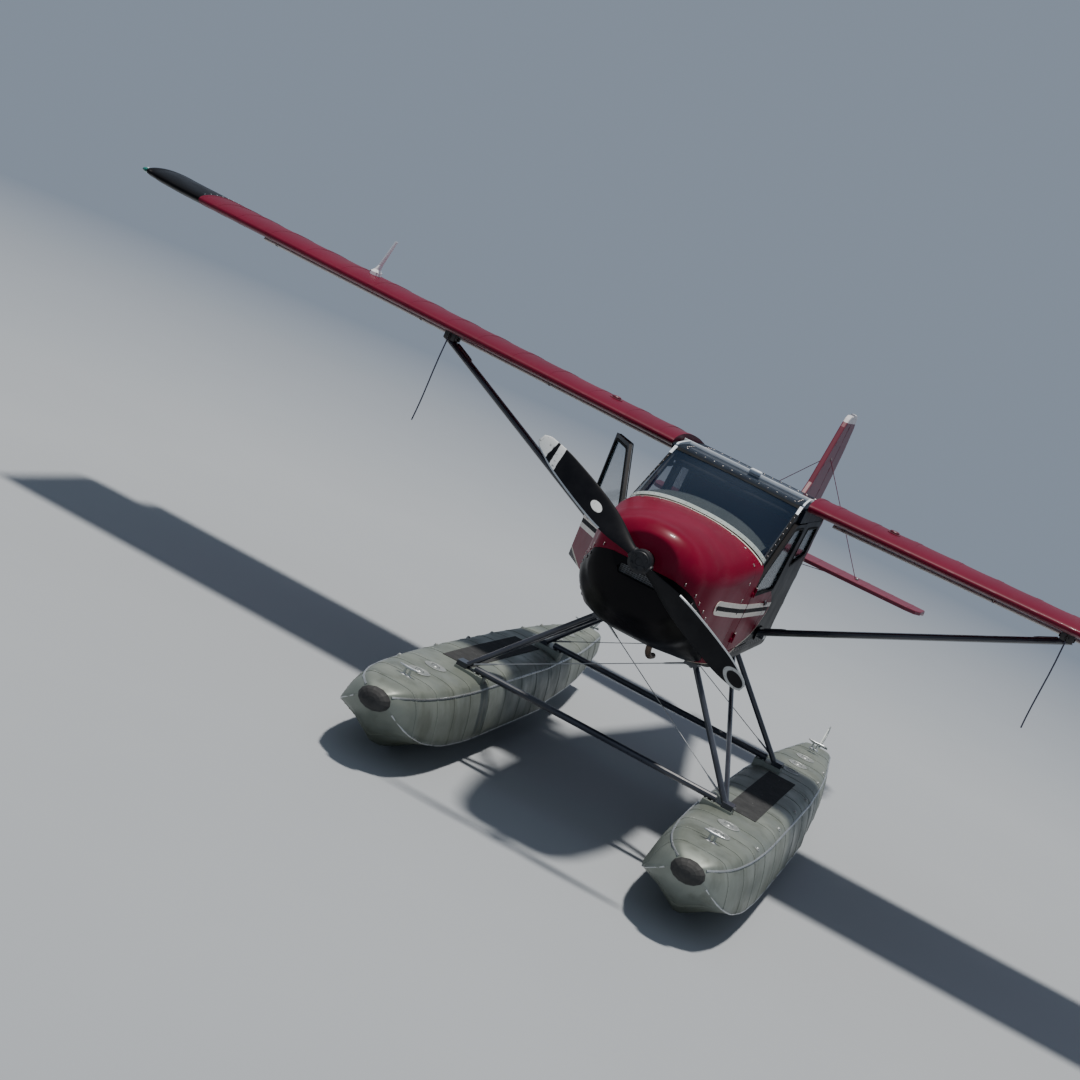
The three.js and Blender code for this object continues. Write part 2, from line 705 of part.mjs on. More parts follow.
// Lift struts: one broad faired strut each side, from the cabin's fitting to the wing's lug
const [footX, footStation, footZ] = strutFoot;
const strutFootEnd = at(footX, footStation - 20, footZ);
const strutTopEnd = at(liftStrutX, 315, 2335);
const strutTopPast = strutTopEnd.clone().add(strutTopEnd.clone().sub(strutFootEnd).setLength(90));
const strutBody = join(
  bar(strutFootEnd, strutTopPast, fairedSection(132, 44)),
  box(cabinHalf + 10, cabinHalf + 60, 400, 500, 1428, 1472),
);
const liftStruts = cut(
  strutBody,
  box(300, cabinHalf + 12 + gap, 300, 600, 1300, 1600),
  box(liftStrutX - 300, liftStrutX + 300, 200, 500, 2335 - gap, 2500),
);
placePair('lift_struts', liftStruts, black);

// Rear fuselage: fabric over stringers, solid here
const rearTable = [
  [roofEnd + gap, cabinHalf, 2405, bellyZ, 130, 60, 110, 90],
  [1290, 468, 2376, 1268, 200, 110, 120, 95],
  [1900, 345, 2300, 1350, 230, 170, 120, 100],
  [2700, 200, 2215, 1470, 150, 160, 90, 90],
  [3350, 95, 2150, 1572, 80, 110, 50, 70],
  [3700, 32, 2108, 1630, 27, 60, 26, 50],
];
const rearBody = bodyLoft(rearTable);
place('rear_fuselage', rearBody, maroon);

// Fin and rudder
const tailHinge = 3735;
const finOutline = [
  [3010, 2150], [3060, 2230], [3180, 2340], [3470, 2850], [3530, 2925], [3600, 2955], [3716, 2958],
  [3716, 2060], [3010, 2060],
];
const rudderBottom = 1942;
const rudderOutline = [
  [tailHinge + 6, rudderBottom], [3900, rudderBottom], [4010, 1985], [4090, 2150], [4118, 2400], [4100, 2640],
  [4040, 2850], [3960, 2950], [3860, 2972], [tailHinge + 6, 2972],
];
const rudderHingeZs = [2110, 2480, 2860];
const tabReach = tailHinge + 9;
const notchReach = tailHinge + 17;
const fin = join(
  cut(sidePlate(finOutline, -22, 22, { round: 9 }), moved(rearBody, 0, 0, gap)),
  ...rudderHingeZs.map((z) => box(-5, 5, 3700, tabReach, z - 14, z + 14)),
);
const rudder = cut(
  sidePlate(rudderOutline, -20, 20, { round: 8 }),
  ...rudderHingeZs.map((z) => box(-25, 25, tailHinge, notchReach, z - 20, z + 20)),
);
place('fin', fin, maroon);
place('rudder', rudder, maroon);

// Stabiliser halves, each with its brace tubes to the fin and the fuselage
const tailZ = 1735;
const stabOutline = [
  [0, 3235], [700, 3300], [1130, 3345], [1215, 3385], [1255, 3470], [1262, 3716], [0, 3716],
];
const braceX = 660;
const braceRadius = 3;
const stabHalf = join(
  cut(levelPlate(stabOutline, tailZ - 17, tailZ + 17, { round: 7 }), moved(rearBody, gap, 0, 0),
    box(-300, 20, 3200, 3800, 1600, 1900)),
  cut(join(
    tube(at(braceX, 3520, tailZ), at(0, 3560, 2580), braceRadius, 8),
    tube(at(braceX, 3520, tailZ), at(0, 3500, 1640), braceRadius, 8),
  ), moved(rearBody, gap, 0, 0), box(-300, 22 + gap, 3300, 3800, 1500, 2700)),
);
const elevatorHingeXs = [420, 1080];
const stabiliser = join(
  stabHalf,
  ...elevatorHingeXs.map((x) => box(x - 14, x + 14, 3700, tabReach, tailZ - 5, tailZ + 5)),
);
placePair('stabiliser', stabiliser, maroon);

// Elevator: two halves on one torque tube behind the fuselage, drooping as it hangs at rest
const droop = THREE.MathUtils.degToRad(12);
const elevatorOutline = [
  [150, tailHinge + 6], [1262, tailHinge + 6], [1258, 3900], [1215, 4005], [1120, 4055], [420, 4060], [290, 4030],
];
const elevatorHalf = cut(
  levelPlate(elevatorOutline, tailZ - 15, tailZ + 15, { round: 6 }),
  ...elevatorHingeXs.map((x) => box(x - 20, x + 20, tailHinge, notchReach, tailZ - 20, tailZ + 20)),
);
const elevator = join(
  elevatorHalf,
  mirrored(elevatorHalf),
  tube(at(-180, tailHinge, tailZ), at(180, tailHinge, tailZ), 12),
);
elevator.translate(0, -leadY - tailHinge, -tailZ).rotateX(-droop).translate(0, leadY + tailHinge, tailZ);
place('elevator', elevator, maroon);

// Floats: riveted sheet hulls, solid here, with a straight keel, one step and pads for the struts
// columns: station, deck half width, chine half width, deck, chine and keel heights
const stepStation = 840;
const floatTable = [
  [-1955, 62, 96, 482, 412, 372],
  [-1900, 118, 176, 512, 350, 286],
  [-1720, 190, 262, 534, 262, 140],
  [-1420, 238, 315, 541, 200, 40],
  [-1050, 262, 334, 540, 172, 0],
  [-300, 270, 338, 540, 165, 0],
  [stepStation, 262, 330, 526, 168, 0],
  [stepStation + 3, 262, 322, 526, 205, 64],
  [1800, 214, 262, 514, 252, 146],
  [2700, 118, 146, 500, 332, 250],
];
function floatRing([station, deck, chine, deckZ, chineZ, keelZ]) {
  const keel = Math.min(18, chine * 0.16);
  const side = deckZ - chineZ;
  const half = [
    [keel, keelZ],
    [chine * 0.55, keelZ + (chineZ - keelZ) * 0.62],
    [chine, chineZ],
    [chine * 1.005, chineZ + side * 0.12],
    [deck + (chine - deck) * 0.62, chineZ + side * 0.55],
    [deck, chineZ + side * 0.84],
    [deck * 0.8, chineZ + side * 0.96],
    [deck * 0.4, deckZ],
  ];
  const full = [...half, ...half.map(([x, z]) => [-x, z]).reverse()];
  return full.map(([x, z]) => at(floatX + x, station, z));
}
// The step is sharp, so the two parts of the table are faired on their own
const stepRow = floatTable.findIndex(([station]) => station === stepStation);
const hullSkin = loft([
  ...faired(floatTable.slice(0, stepRow + 1), 1),
  ...faired(floatTable.slice(stepRow + 1), 1),
].map(floatRing));
const padTop = 560;
const footStations = [-740, 1050];
const padEnds = [805, 1010];
const postStation = 2738;
const hull = join(
  hullSkin,
  ...footStations.map((s) => box(...padEnds, s - 55, s + 55, 470, padTop)),
  ...[[-1560, 14], [2350, 12]].map(([s, r]) => join(
    box(floatX - 9, floatX + 9, s - 12, s + 12, 500, 588),
    tube(at(floatX - 55, s, 588), at(floatX + 55, s, 588), r, 8),
  )),
  ...[330, 462].map((z) => box(floatX - 22, floatX + 22, 2660, postStation - 15, z, z + 18)),
);
placePair('float', hull, hullGrey);

// Bow bumpers: rubber caps on the float noses
const bumper = cut(
  new THREE.SphereGeometry(1, 14, 10).scale(108, 62, 72).translate(floatX, leadY - 1952, 430),
  moved(hullSkin, 0, -gap, 0),
  box(floatX - 200, floatX + 200, -1930, -1700, 200, 700),
);
placePair('bow_bumper', bumper, rubber);

// Spreader bars across the float decks
for (const [name, station] of [['spreader_bar_front', footStations[0]], ['spreader_bar_rear', footStations[1]]]) {
  const barZ = padTop + gap + 22.5;
  place(name, bar(at(-880, station, barZ), at(880, station, barZ), fairedSection(72, 42)), steel);
}

// Float struts: a faired N each side, from the belly to the deck pads
const strutTopX = 340;
const strutFootX = 960;
const topStations = [-480, 820];
function floatStrutEnds(i) {
  return [at(strutTopX, topStations[i], bellyZ - gap), at(strutFootX, footStations[i], padTop + gap)];
}
const [frontUp, frontDown] = floatStrutEnds(0);
const [rearUp, rearDown] = floatStrutEnds(1);
const floatStrutBody = join(
  bar(frontUp.clone().add(frontUp.clone().sub(frontDown).setLength(50)), frontDown.clone()
    .add(frontDown.clone().sub(frontUp).setLength(50)), fairedSection(78, 36)),
  bar(rearUp.clone().add(rearUp.clone().sub(rearDown).setLength(50)), rearDown.clone()
    .add(rearDown.clone().sub(rearUp).setLength(50)), fairedSection(78, 36)),
  bar(rearUp, frontDown, fairedSection(56, 28)),
  ...topStations.map((s) => box(strutTopX - 50, strutTopX + 40, s - 60, s + 60, bellyZ - 40, bellyZ + 20)),
  ...footStations.map((s) => box(strutFootX - 30, strutFootX + 45, s - 50, s + 50, padTop - 20, padTop + 34)),
);
const floatStruts = cut(
  floatStrutBody,
  box(0, 1500, -1000, 1500, bellyZ - gap, 1400),
  box(0, 1500, -1000, 1500, 300, padTop + gap),
);
placePair('float_struts', floatStruts, steel);

// Water rudders: blades carried up behind each stern, on upright posts
const bladeOutline = [[postStation + 4, 452], [2790, 440], [3000, 520], [3030, 580], [2960, 650], [2870, 640],
  [postStation + 4, 505]];
const waterRudder = join(
  tube(at(floatX, postStation, 318), at(floatX, postStation, 520), 9),
  sidePlate(bladeOutline, floatX - 4, floatX + 4),
  box(floatX - 70, floatX + 70, postStation - 8, postStation + 8, 506, 516),
);
placePair('water_rudder', waterRudder, hullGrey);

export default group;
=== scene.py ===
import math

import bmesh
import bpy
from mathutils import Matrix, Vector


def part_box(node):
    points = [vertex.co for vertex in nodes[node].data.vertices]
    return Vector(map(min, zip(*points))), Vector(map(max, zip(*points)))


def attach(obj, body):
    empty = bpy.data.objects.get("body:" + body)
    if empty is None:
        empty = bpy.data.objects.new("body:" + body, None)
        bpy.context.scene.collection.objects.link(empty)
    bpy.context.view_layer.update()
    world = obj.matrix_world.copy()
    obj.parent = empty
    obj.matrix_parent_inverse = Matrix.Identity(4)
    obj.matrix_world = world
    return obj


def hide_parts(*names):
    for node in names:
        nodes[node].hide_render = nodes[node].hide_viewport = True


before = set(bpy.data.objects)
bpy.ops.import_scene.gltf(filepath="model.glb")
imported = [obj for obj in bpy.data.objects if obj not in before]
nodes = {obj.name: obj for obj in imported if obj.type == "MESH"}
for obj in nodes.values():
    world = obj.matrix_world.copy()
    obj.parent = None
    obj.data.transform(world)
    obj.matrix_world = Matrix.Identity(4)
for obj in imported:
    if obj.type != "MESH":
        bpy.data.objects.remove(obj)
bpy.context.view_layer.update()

# Camera: stands to the right of the nose at head height, turned with the aircraft's lean,
# so that the wing runs from the upper left corner to the right edge of the picture.
# Sizes from here on are in millimetres, and a station is a distance aft of the wing's leading edge.
lead_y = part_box("wing_left")[0].y
camera_place = Vector((2.140, lead_y - 12.277, 3.421))
camera_turn = math.radians(14.55)
camera_dip = math.radians(9.03)
camera_roll = math.radians(24.87)
camera = bpy.data.objects.new("camera", bpy.data.cameras.new("camera"))
camera.data.lens = 62.87
camera.data.sensor_width = 36
camera.matrix_world = (
    Matrix.Translation(camera_place)
    @ Matrix.Rotation(camera_turn, 4, "Z")
    @ Matrix.Rotation(math.radians(90) - camera_dip, 4, "X")
    @ Matrix.Rotation(camera_roll, 4, "Z")
)
bpy.context.collection.objects.link(camera)
bpy.context.scene.camera = camera


# Mooring ropes: one length of braided cord hangs from the eye under each wing.
# It is tied by hand, 10 mm thick and 0.63 m long, and its cut end is bare.
def at(x, station, z):
    return Vector((x / 1000, lead_y + station / 1000, z / 1000))


def finish(name, colour, roughness=0.5, metallic=0.0, coat=0.0, specular=0.5):
    made = bpy.data.materials.new(name)
    made.use_nodes = True
    shader = made.node_tree.nodes["Principled BSDF"]
    for socket, value in (
        ("Base Color", (*colour, 1)), ("Roughness", roughness), ("Metallic", metallic),
        ("Specular IOR Level", specular), ("Coat Weight", coat), ("Coat Roughness", 0.08),
    ):
        shader.inputs[socket].default_value = value
    return made, made.node_tree, shader


def node(tree, kind, inputs=None, **settings):
    made = tree.nodes.new("ShaderNode" + kind)
    for key, value in settings.items():
        setattr(made, key, value)
    for key, value in (inputs or {}).items():
        if isinstance(value, bpy.types.NodeSocket):
            tree.links.new(value, made.inputs[key])
        else:
            made.inputs[key].default_value = value
    return made


def feed(shader, name, value):
    shader.id_data.links.new(value, shader.inputs[name])


def place_of(tree, stretch=(1, 1, 1)):
    where = node(tree, "TexCoord").outputs["Object"]
    return node(tree, "Mapping", {"Vector": where, "Scale": stretch}).outputs["Vector"]


def noise(tree, scale, detail=4.0, stretch=(1, 1, 1)):
    inputs = {"Vector": place_of(tree, stretch), "Scale": scale, "Detail": detail, "Roughness": 0.6}
    return node(tree, "TexNoise", inputs).outputs["Fac"]


def graded(amount, low, high, to_low=0.0, to_high=1.0):
    inputs = {"Value": amount, "From Min": low, "From Max": high, "To Min": to_low, "To Max": to_high}
    return node(amount.id_data, "MapRange", inputs).outputs["Result"]


def cloud(tree, scale, low=0.35, high=0.65, to_low=0.0, to_high=1.0, detail=4.0, stretch=(1, 1, 1)):
    return graded(noise(tree, scale, detail, stretch), low, high, to_low, to_high)


def mixed(amount, first, second):
    found = node(amount.id_data, "Mix", {"Factor": amount}, data_type="RGBA")
    for socket, value in ((found.inputs[6], first), (found.inputs[7], second)):
        if isinstance(value, bpy.types.NodeSocket):
            amount.id_data.links.new(value, socket)
        else:
            socket.default_value = (*value, 1)
    return found.outputs[2]


def weave(tree, scale, distortion, direction):
    inputs = {"Vector": place_of(tree), "Scale": scale, "Distortion": distortion}
    return node(tree, "TexWave", inputs, bands_direction=direction).outputs["Fac"]


def bumped(shader, height, strength, distance=0.002):
    inputs = {"Height": height, "Strength": strength, "Distance": distance}
    feed(shader, "Normal", node(shader.id_data, "Bump", inputs).outputs["Normal"])


def paint(name, first, second, scale, roughness, spread=0.12, metallic=0.0, coat=0.0, grain=0.1,
          specular=0.5):
    """A clouded finish of two colours with an uneven gloss and a fine grain."""
    made, tree, shader = finish(name, first, roughness, metallic, coat, specular)
    feed(shader, "Base Color", mixed(cloud(tree, scale), first, second))
    gloss = (roughness - spread / 2, roughness + spread / 2)
    feed(shader, "Roughness", cloud(tree, scale * 3.1, 0.3, 0.7, *gloss))
    bumped(shader, noise(tree, scale * 22), grain, 0.001)
    return made


def link_up(thing, material, body):
    """Puts a new piece in the scene, with its finish and its body."""
    bpy.context.collection.objects.link(thing)
    thing.data.materials.clear()
    thing.data.materials.append(material)
    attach(thing, body)


hands = (("left", 1), ("right", -1))
rope_route = [
    (0, 0, 0), (0, 0, 20), (1, 1, 60), (2, 2, 105), (3, 3, 150), (3, 5, 195), (3, 6, 240), (2, 7, 285),
    (1, 8, 330), (0, 8, 375), (-1, 8, 420), (-2, 7, 465), (-2, 6, 510), (-2, 5, 555), (-1, 4, 600),
    (0, 4, 630),
]
rope_colour = (0.045, 0.045, 0.075)
eye_x, eye_station, rope_top = 2330, 235, 2341.7
braid, tree, shader = finish("rope_braid", rope_colour, 0.9)
twist = weave(tree, 60.0, 1.5, "DIAGONAL")
feed(shader, "Base Color", mixed(twist, rope_colour, (0.11, 0.11, 0.15)))
bumped(shader, twist, 0.8)
for side, sign in hands:
    curve = bpy.data.curves.new(f"mooring_rope_cord_{side}", "CURVE")
    curve.dimensions = "3D"
    curve.bevel_depth = 0.005
    curve.bevel_resolution = 3
    line = curve.splines.new("POLY")
    line.points.add(len(rope_route) - 1)
    for point, (x, station, drop) in zip(line.points, rope_route):
        point.co = (*at(sign * (eye_x + x), eye_station + station, rope_top - drop), 1)
    cord = bpy.data.objects.new(f"mooring_rope_cord_{side}", curve)
    link_up(cord, braid, "airframe")
    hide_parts(f"mooring_rope_{side}")

# Studio: a wide pale floor that fades into an even sky, with one high soft sun on the camera's right.
# The floor's far part takes the sky's own colour, so no edge shows behind the aircraft.
sky_colour = (0.56, 0.67, 0.84, 1)
sky_strength = 0.42
fade_start, fade_end = 6.0, 24.0
bpy.ops.mesh.primitive_grid_add(size=220, x_subdivisions=4, y_subdivisions=4)
floor = bpy.context.object
floor.name = "studio_floor"
floor_paint, tree, shader = finish("studio_floor_finish", (0.33, 0.35, 0.37), 0.9)
feed(shader, "Base Color", mixed(noise(tree, 0.4), (0.32, 0.34, 0.36), (0.35, 0.37, 0.39)))
far_glow = node(tree, "Emission", {"Color": sky_colour, "Strength": sky_strength})
distance = node(tree, "VectorMath", {0: place_of(tree)}, operation="LENGTH").outputs["Value"]
blend = node(tree, "MixShader", {
    0: graded(distance, fade_start, fade_end), 1: shader.outputs["BSDF"], 2: far_glow.outputs["Emission"],
})
feed(tree.nodes["Material Output"], "Surface", blend.outputs["Shader"])
floor.data.materials.append(floor_paint)
world = bpy.data.worlds.new("studio_sky")
bpy.context.scene.world = world
world.use_nodes = True
sky = world.node_tree.nodes["Background"]
sky.inputs["Color"].default_value = sky_colour
sky.inputs["Strength"].default_value = sky_strength
sun = bpy.data.objects.new("sun", bpy.data.lights.new("sun", "SUN"))
sun.data.energy = 4.4
sun.data.angle = math.radians(5)
sun.data.color = (1, 0.96, 0.9)
toward_sun = camera.matrix_world.to_3x3() @ Vector((0.42, 0.82, 0.12))
sun.rotation_euler = toward_sun.to_track_quat("Z", "Y").to_euler()
bpy.context.collection.objects.link(sun)


# Floats: hulls of riveted aluminium sheet with a hard chine and one step, painted grey and water-stained.
# The sheets lap at the frames, and the pads, cleats, hatches and stern brackets are bolted on the skin.
def fair_row(table, station):
    """The row at a station, on a smooth line through a table's rows that never overshoots them."""
    stations = [row[0] for row in table]
    last = len(table) - 1
    i = max(k for k in range(last) if stations[k] <= station or k == 0)

    def rise(column, k):
        return (table[k + 1][column] - table[k][column]) / (stations[k + 1] - stations[k])

    def slope(column, k):
        if k in (0, last):
            return rise(column, min(k, last - 1))
        before, after = stations[k] - stations[k - 1], stations[k + 1] - stations[k]
        low, high = rise(column, k - 1), rise(column, k)
        return 0 if low * high <= 0 else (low * after + high * before) / (before + after)

    span = stations[i + 1] - stations[i]
    t = (station - stations[i]) / span
    t2, t3 = t * t, t * t * t
    row = [station]
    for c in range(1, len(table[0])):
        level = table[i][c] * (2 * t3 - 3 * t2 + 1) + table[i + 1][c] * (3 * t2 - 2 * t3)
        row.append(level + span * (slope(c, i) * (t3 - 2 * t2 + t) + slope(c, i + 1) * (t3 - t2)))
    return row


def steps_between(start, end, count):
    return [start + (end - start) * i / count for i in range(count + 1)]


def curved(points, steps=4):
    """A smooth line through the points."""
    corners = [Vector(point) for point in points]
    corners = [2 * corners[0] - corners[1]] + corners + [2 * corners[-1] - corners[-2]]
    line = []
    for a, b, c, d in zip(corners, corners[1:], corners[2:], corners[3:]):
        for t in (k / steps for k in range(steps)):
            line.append(0.5 * (2 * b + (c - a) * t + (2 * a - 5 * b + 4 * c - d) * t * t
                               + (3 * b - a - 3 * c + d) * t * t * t))
    return line + [corners[-2]]


def grown(outline, out):
    """The closed outline moved sideways, to the right of its direction of travel."""
    moved = []
    for i, (u, v) in enumerate(outline):
        before, after = outline[i - 1], outline[(i + 1) % len(outline)]
        du, dv = after[0] - before[0], after[1] - before[1]
        length = math.hypot(du, dv) or 1
        moved.append((u + out * dv / length, v - out * du / length))
    return moved


def add_rings(bm, rings, around=False):
    """A closed skin through rings of equal counts; around joins the last ring to the first."""
    rows = [[bm.verts.new(point) for point in ring] for ring in rings]
    count = len(rows[0])
    for first, second in zip(rows, rows[1:] + (rows[:1] if around else [])):
        for i in range(count):
            j = (i + 1) % count
            bm.faces.new((first[i], first[j], second[j], second[i]))
    if not around:
        bm.faces.new(rows[0][::-1])
        bm.faces.new(rows[-1])


def add_tube(bm, path, radius, sides=8, flat=1.0):
    """A round bar along a path; radius may be one number or one for each point, in millimetres."""
    radii = radius if isinstance(radius, (list, tuple)) else [radius] * len(path)
    side = None
    rings = []
    for i, place in enumerate(path):
        along = (path[min(i + 1, len(path) - 1)] - path[max(i - 1, 0)]).normalized()
        start = side or (Vector((0, 0, 1)) if abs(along.z) < 0.9 else Vector((1, 0, 0)))
        side = (start - along * start.dot(along)).normalized()
        across = along.cross(side)
        rings.append([
            place + radii[i] / 1000 * (side * math.cos(turn) * flat + across * math.sin(turn))
            for turn in (2 * math.pi * (k + 0.5) / sides for k in range(sides))
        ])
    add_rings(bm, rings)


def add_block(bm, x, station, z, size, bevel=2.0):
    """A block by its middle and its size, with eased edges."""
    scale = Matrix.Diagonal((*(each / 1000 for each in size), 1))
    made = bmesh.ops.create_cube(bm, size=1, matrix=Matrix.Translation(at(x, station, z)) @ scale)
    edges = list({edge for vert in made["verts"] for edge in vert.link_edges})
    bmesh.ops.bevel(bm, geom=edges, offset=bevel / 1000, segments=2, affect="EDGES", profile=0.5)


def add_turned(bm, place, axis, profile, sides=16):
    """A turned piece: profile rows are radius and height along the axis, in millimetres."""
    spin = Vector(axis).to_track_quat("Z", "Y").to_matrix()
    turns = [(math.cos(turn), math.sin(turn)) for turn in (2 * math.pi * k / sides for k in range(sides))]
    add_rings(bm, [
        [place + spin @ Vector((radius * right, radius * up, height)) / 1000 for right, up in turns]
        for radius, height in profile
    ])


def add_rivet(bm, place, normal, radius=5.0, sides=8):
    add_turned(bm, place, normal, [(radius, -1.0), (radius, 0.4), (radius * 0.6, radius * 0.45)], sides)


def add_bolt(bm, place, axis, foot, radius, edge, crown, top, sides=6):
    """A bolt's head: heights of its foot, edge and top, and radii of its side and crown."""
    add_turned(bm, place, axis, [(radius, foot), (radius, edge), (crown, top), (0.5, top)], sides)


def smooth(mesh, angle):
    for face in mesh.polygons:
        face.use_smooth = True
    if angle:
        mesh.set_sharp_from_angle(angle=math.radians(angle))


def put(name, bm, material, angle=35, replaced="", body="airframe"):
    """Makes a piece of what is drawn, in place of a CAD piece where one is named."""
    bmesh.ops.recalc_face_normals(bm, faces=bm.faces)
    made = bpy.data.objects.new(name, bpy.data.meshes.new(name))
    bm.to_mesh(made.data)
    bm.free()
    link_up(made, material, body)
    smooth(made.data, angle)
    if replaced:
        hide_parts(replaced)
    return made


def dress(material, angle, *names):
    """Finishes CAD pieces as they are."""
    for name in names:
        nodes[name].data.materials.clear()
        nodes[name].data.materials.append(material)
        smooth(nodes[name].data, None)
        nodes[name].modifiers.new("creases", "EDGE_SPLIT").split_angle = math.radians(angle)


def worked(kind, first, second=0.0):
    return node(first.id_data, "Math", {0: first, 1: second}, operation=kind).outputs["Value"]


def times(first, second):
    return worked("MULTIPLY", first, second)


def plus(first, second):
    return worked("ADD", first, second)


def height_of(tree):
    return node(tree, "SeparateXYZ", {0: place_of(tree)}).outputs["Z"]


float_x = 1050
step_station = 840
# columns: station, deck half width, chine half width, deck, chine and keel heights
float_table = [
    (-1955, 62, 96, 482, 412, 372), (-1900, 118, 176, 512, 350, 286), (-1720, 190, 262, 534, 262, 140),
    (-1420, 238, 315, 541, 200, 40), (-1050, 262, 334, 540, 172, 0), (-300, 270, 338, 540, 165, 0),
    (step_station, 262, 330, 526, 168, 0), (step_station + 3, 262, 322, 526, 205, 64),
    (1800, 214, 262, 514, 252, 146), (2700, 118, 146, 500, 332, 250),
]
float_frames = [-1760, -1500, -1240, -960, -600, -240, 120, 480, 800, 1120, 1460, 1800, 2140, 2440]


def hull_outline(station):
    """The line over the deck from chine to chine, then the bottom's, as x from the float's middle and z."""
    before = station <= step_station
    rows = [each for each in float_table if (each[0] <= step_station) == before]
    _, deck, chine, deck_z, chine_z, keel_z = fair_row(rows, station)
    keel = min(18, chine * 0.16)
    rise = deck_z - chine_z
    side = [
        (chine, chine_z), (chine * 1.005, chine_z + rise * 0.12),
        (deck + (chine - deck) * 0.62, chine_z + rise * 0.55), (deck, chine_z + rise * 0.84),
        (deck * 0.8, chine_z + rise * 0.96), (deck * 0.4, deck_z),
    ]
    over = curved(side + [(-x, z) for x, z in reversed(side)])
    hollow = (chine * 0.55, keel_z + (chine_z - keel_z) * 0.62)
    bottom = [(-hollow[0], hollow[1]), (-keel, keel_z), (keel, keel_z), hollow]
    return [tuple(point) for point in over], bottom


def hull_ring(sign, station, out=0.0):
    over, bottom = hull_outline(station)
    return [at(sign * (float_x + x), station, z) for x, z in grown(over + bottom, -out)]


def deck_line(station, share):
    """A point of the outline over the deck, where 0 is the chine, 12 the deck's edge and 22 the middle."""
    return hull_outline(station)[0][share]


float_skin, tree, shader = finish("float_skin", (0.3, 0.32, 0.31), 0.42, 0.35)
bare = mixed(cloud(tree, 1.7, detail=6), (0.155, 0.175, 0.150), (0.255, 0.28, 0.25))
run_down = mixed(cloud(tree, 7, 0.52, 0.78, 0.0, 0.75, 5, (1, 1, 0.12)), bare, (0.085, 0.092, 0.068))
# The hull turns darker and greener towards the bottom, below a ragged line about 0.17 m up.
low_band_height = plus(height_of(tree), times(noise(tree, 3.5), -0.22))
feed(shader, "Base Color", mixed(graded(low_band_height, 0.17, 0.02, 0.0, 0.8), run_down, (0.085, 0.095, 0.06)))
feed(shader, "Roughness", cloud(tree, 5, 0.3, 0.7, 0.32, 0.6))
bumped(shader, noise(tree, 2.6, 2), 0.35, 0.006)
bright_rail = paint("bright_rail", (0.62, 0.64, 0.65), (0.46, 0.48, 0.49), 7, 0.3, metallic=0.8)
bolt_metal = paint("bolt_metal", (0.30, 0.31, 0.32), (0.20, 0.19, 0.18), 30, 0.4, metallic=0.85)
grip_pad = paint("grip_pad", (0.018, 0.019, 0.02), (0.034, 0.035, 0.036), 14, 0.92, grain=0.9)
hatch_cover = paint("hatch_cover", (0.30, 0.32, 0.31), (0.40, 0.42, 0.41), 9, 0.4, metallic=0.5)
pad_stations = (-740, 1050)
hatch_stations = (-1330, -1040, 1300, 1640, 2000)
pump_stations = (-1120, -420, 240, 760, 1450, 1880)
post_station = 2738
rivet_pitch = 42
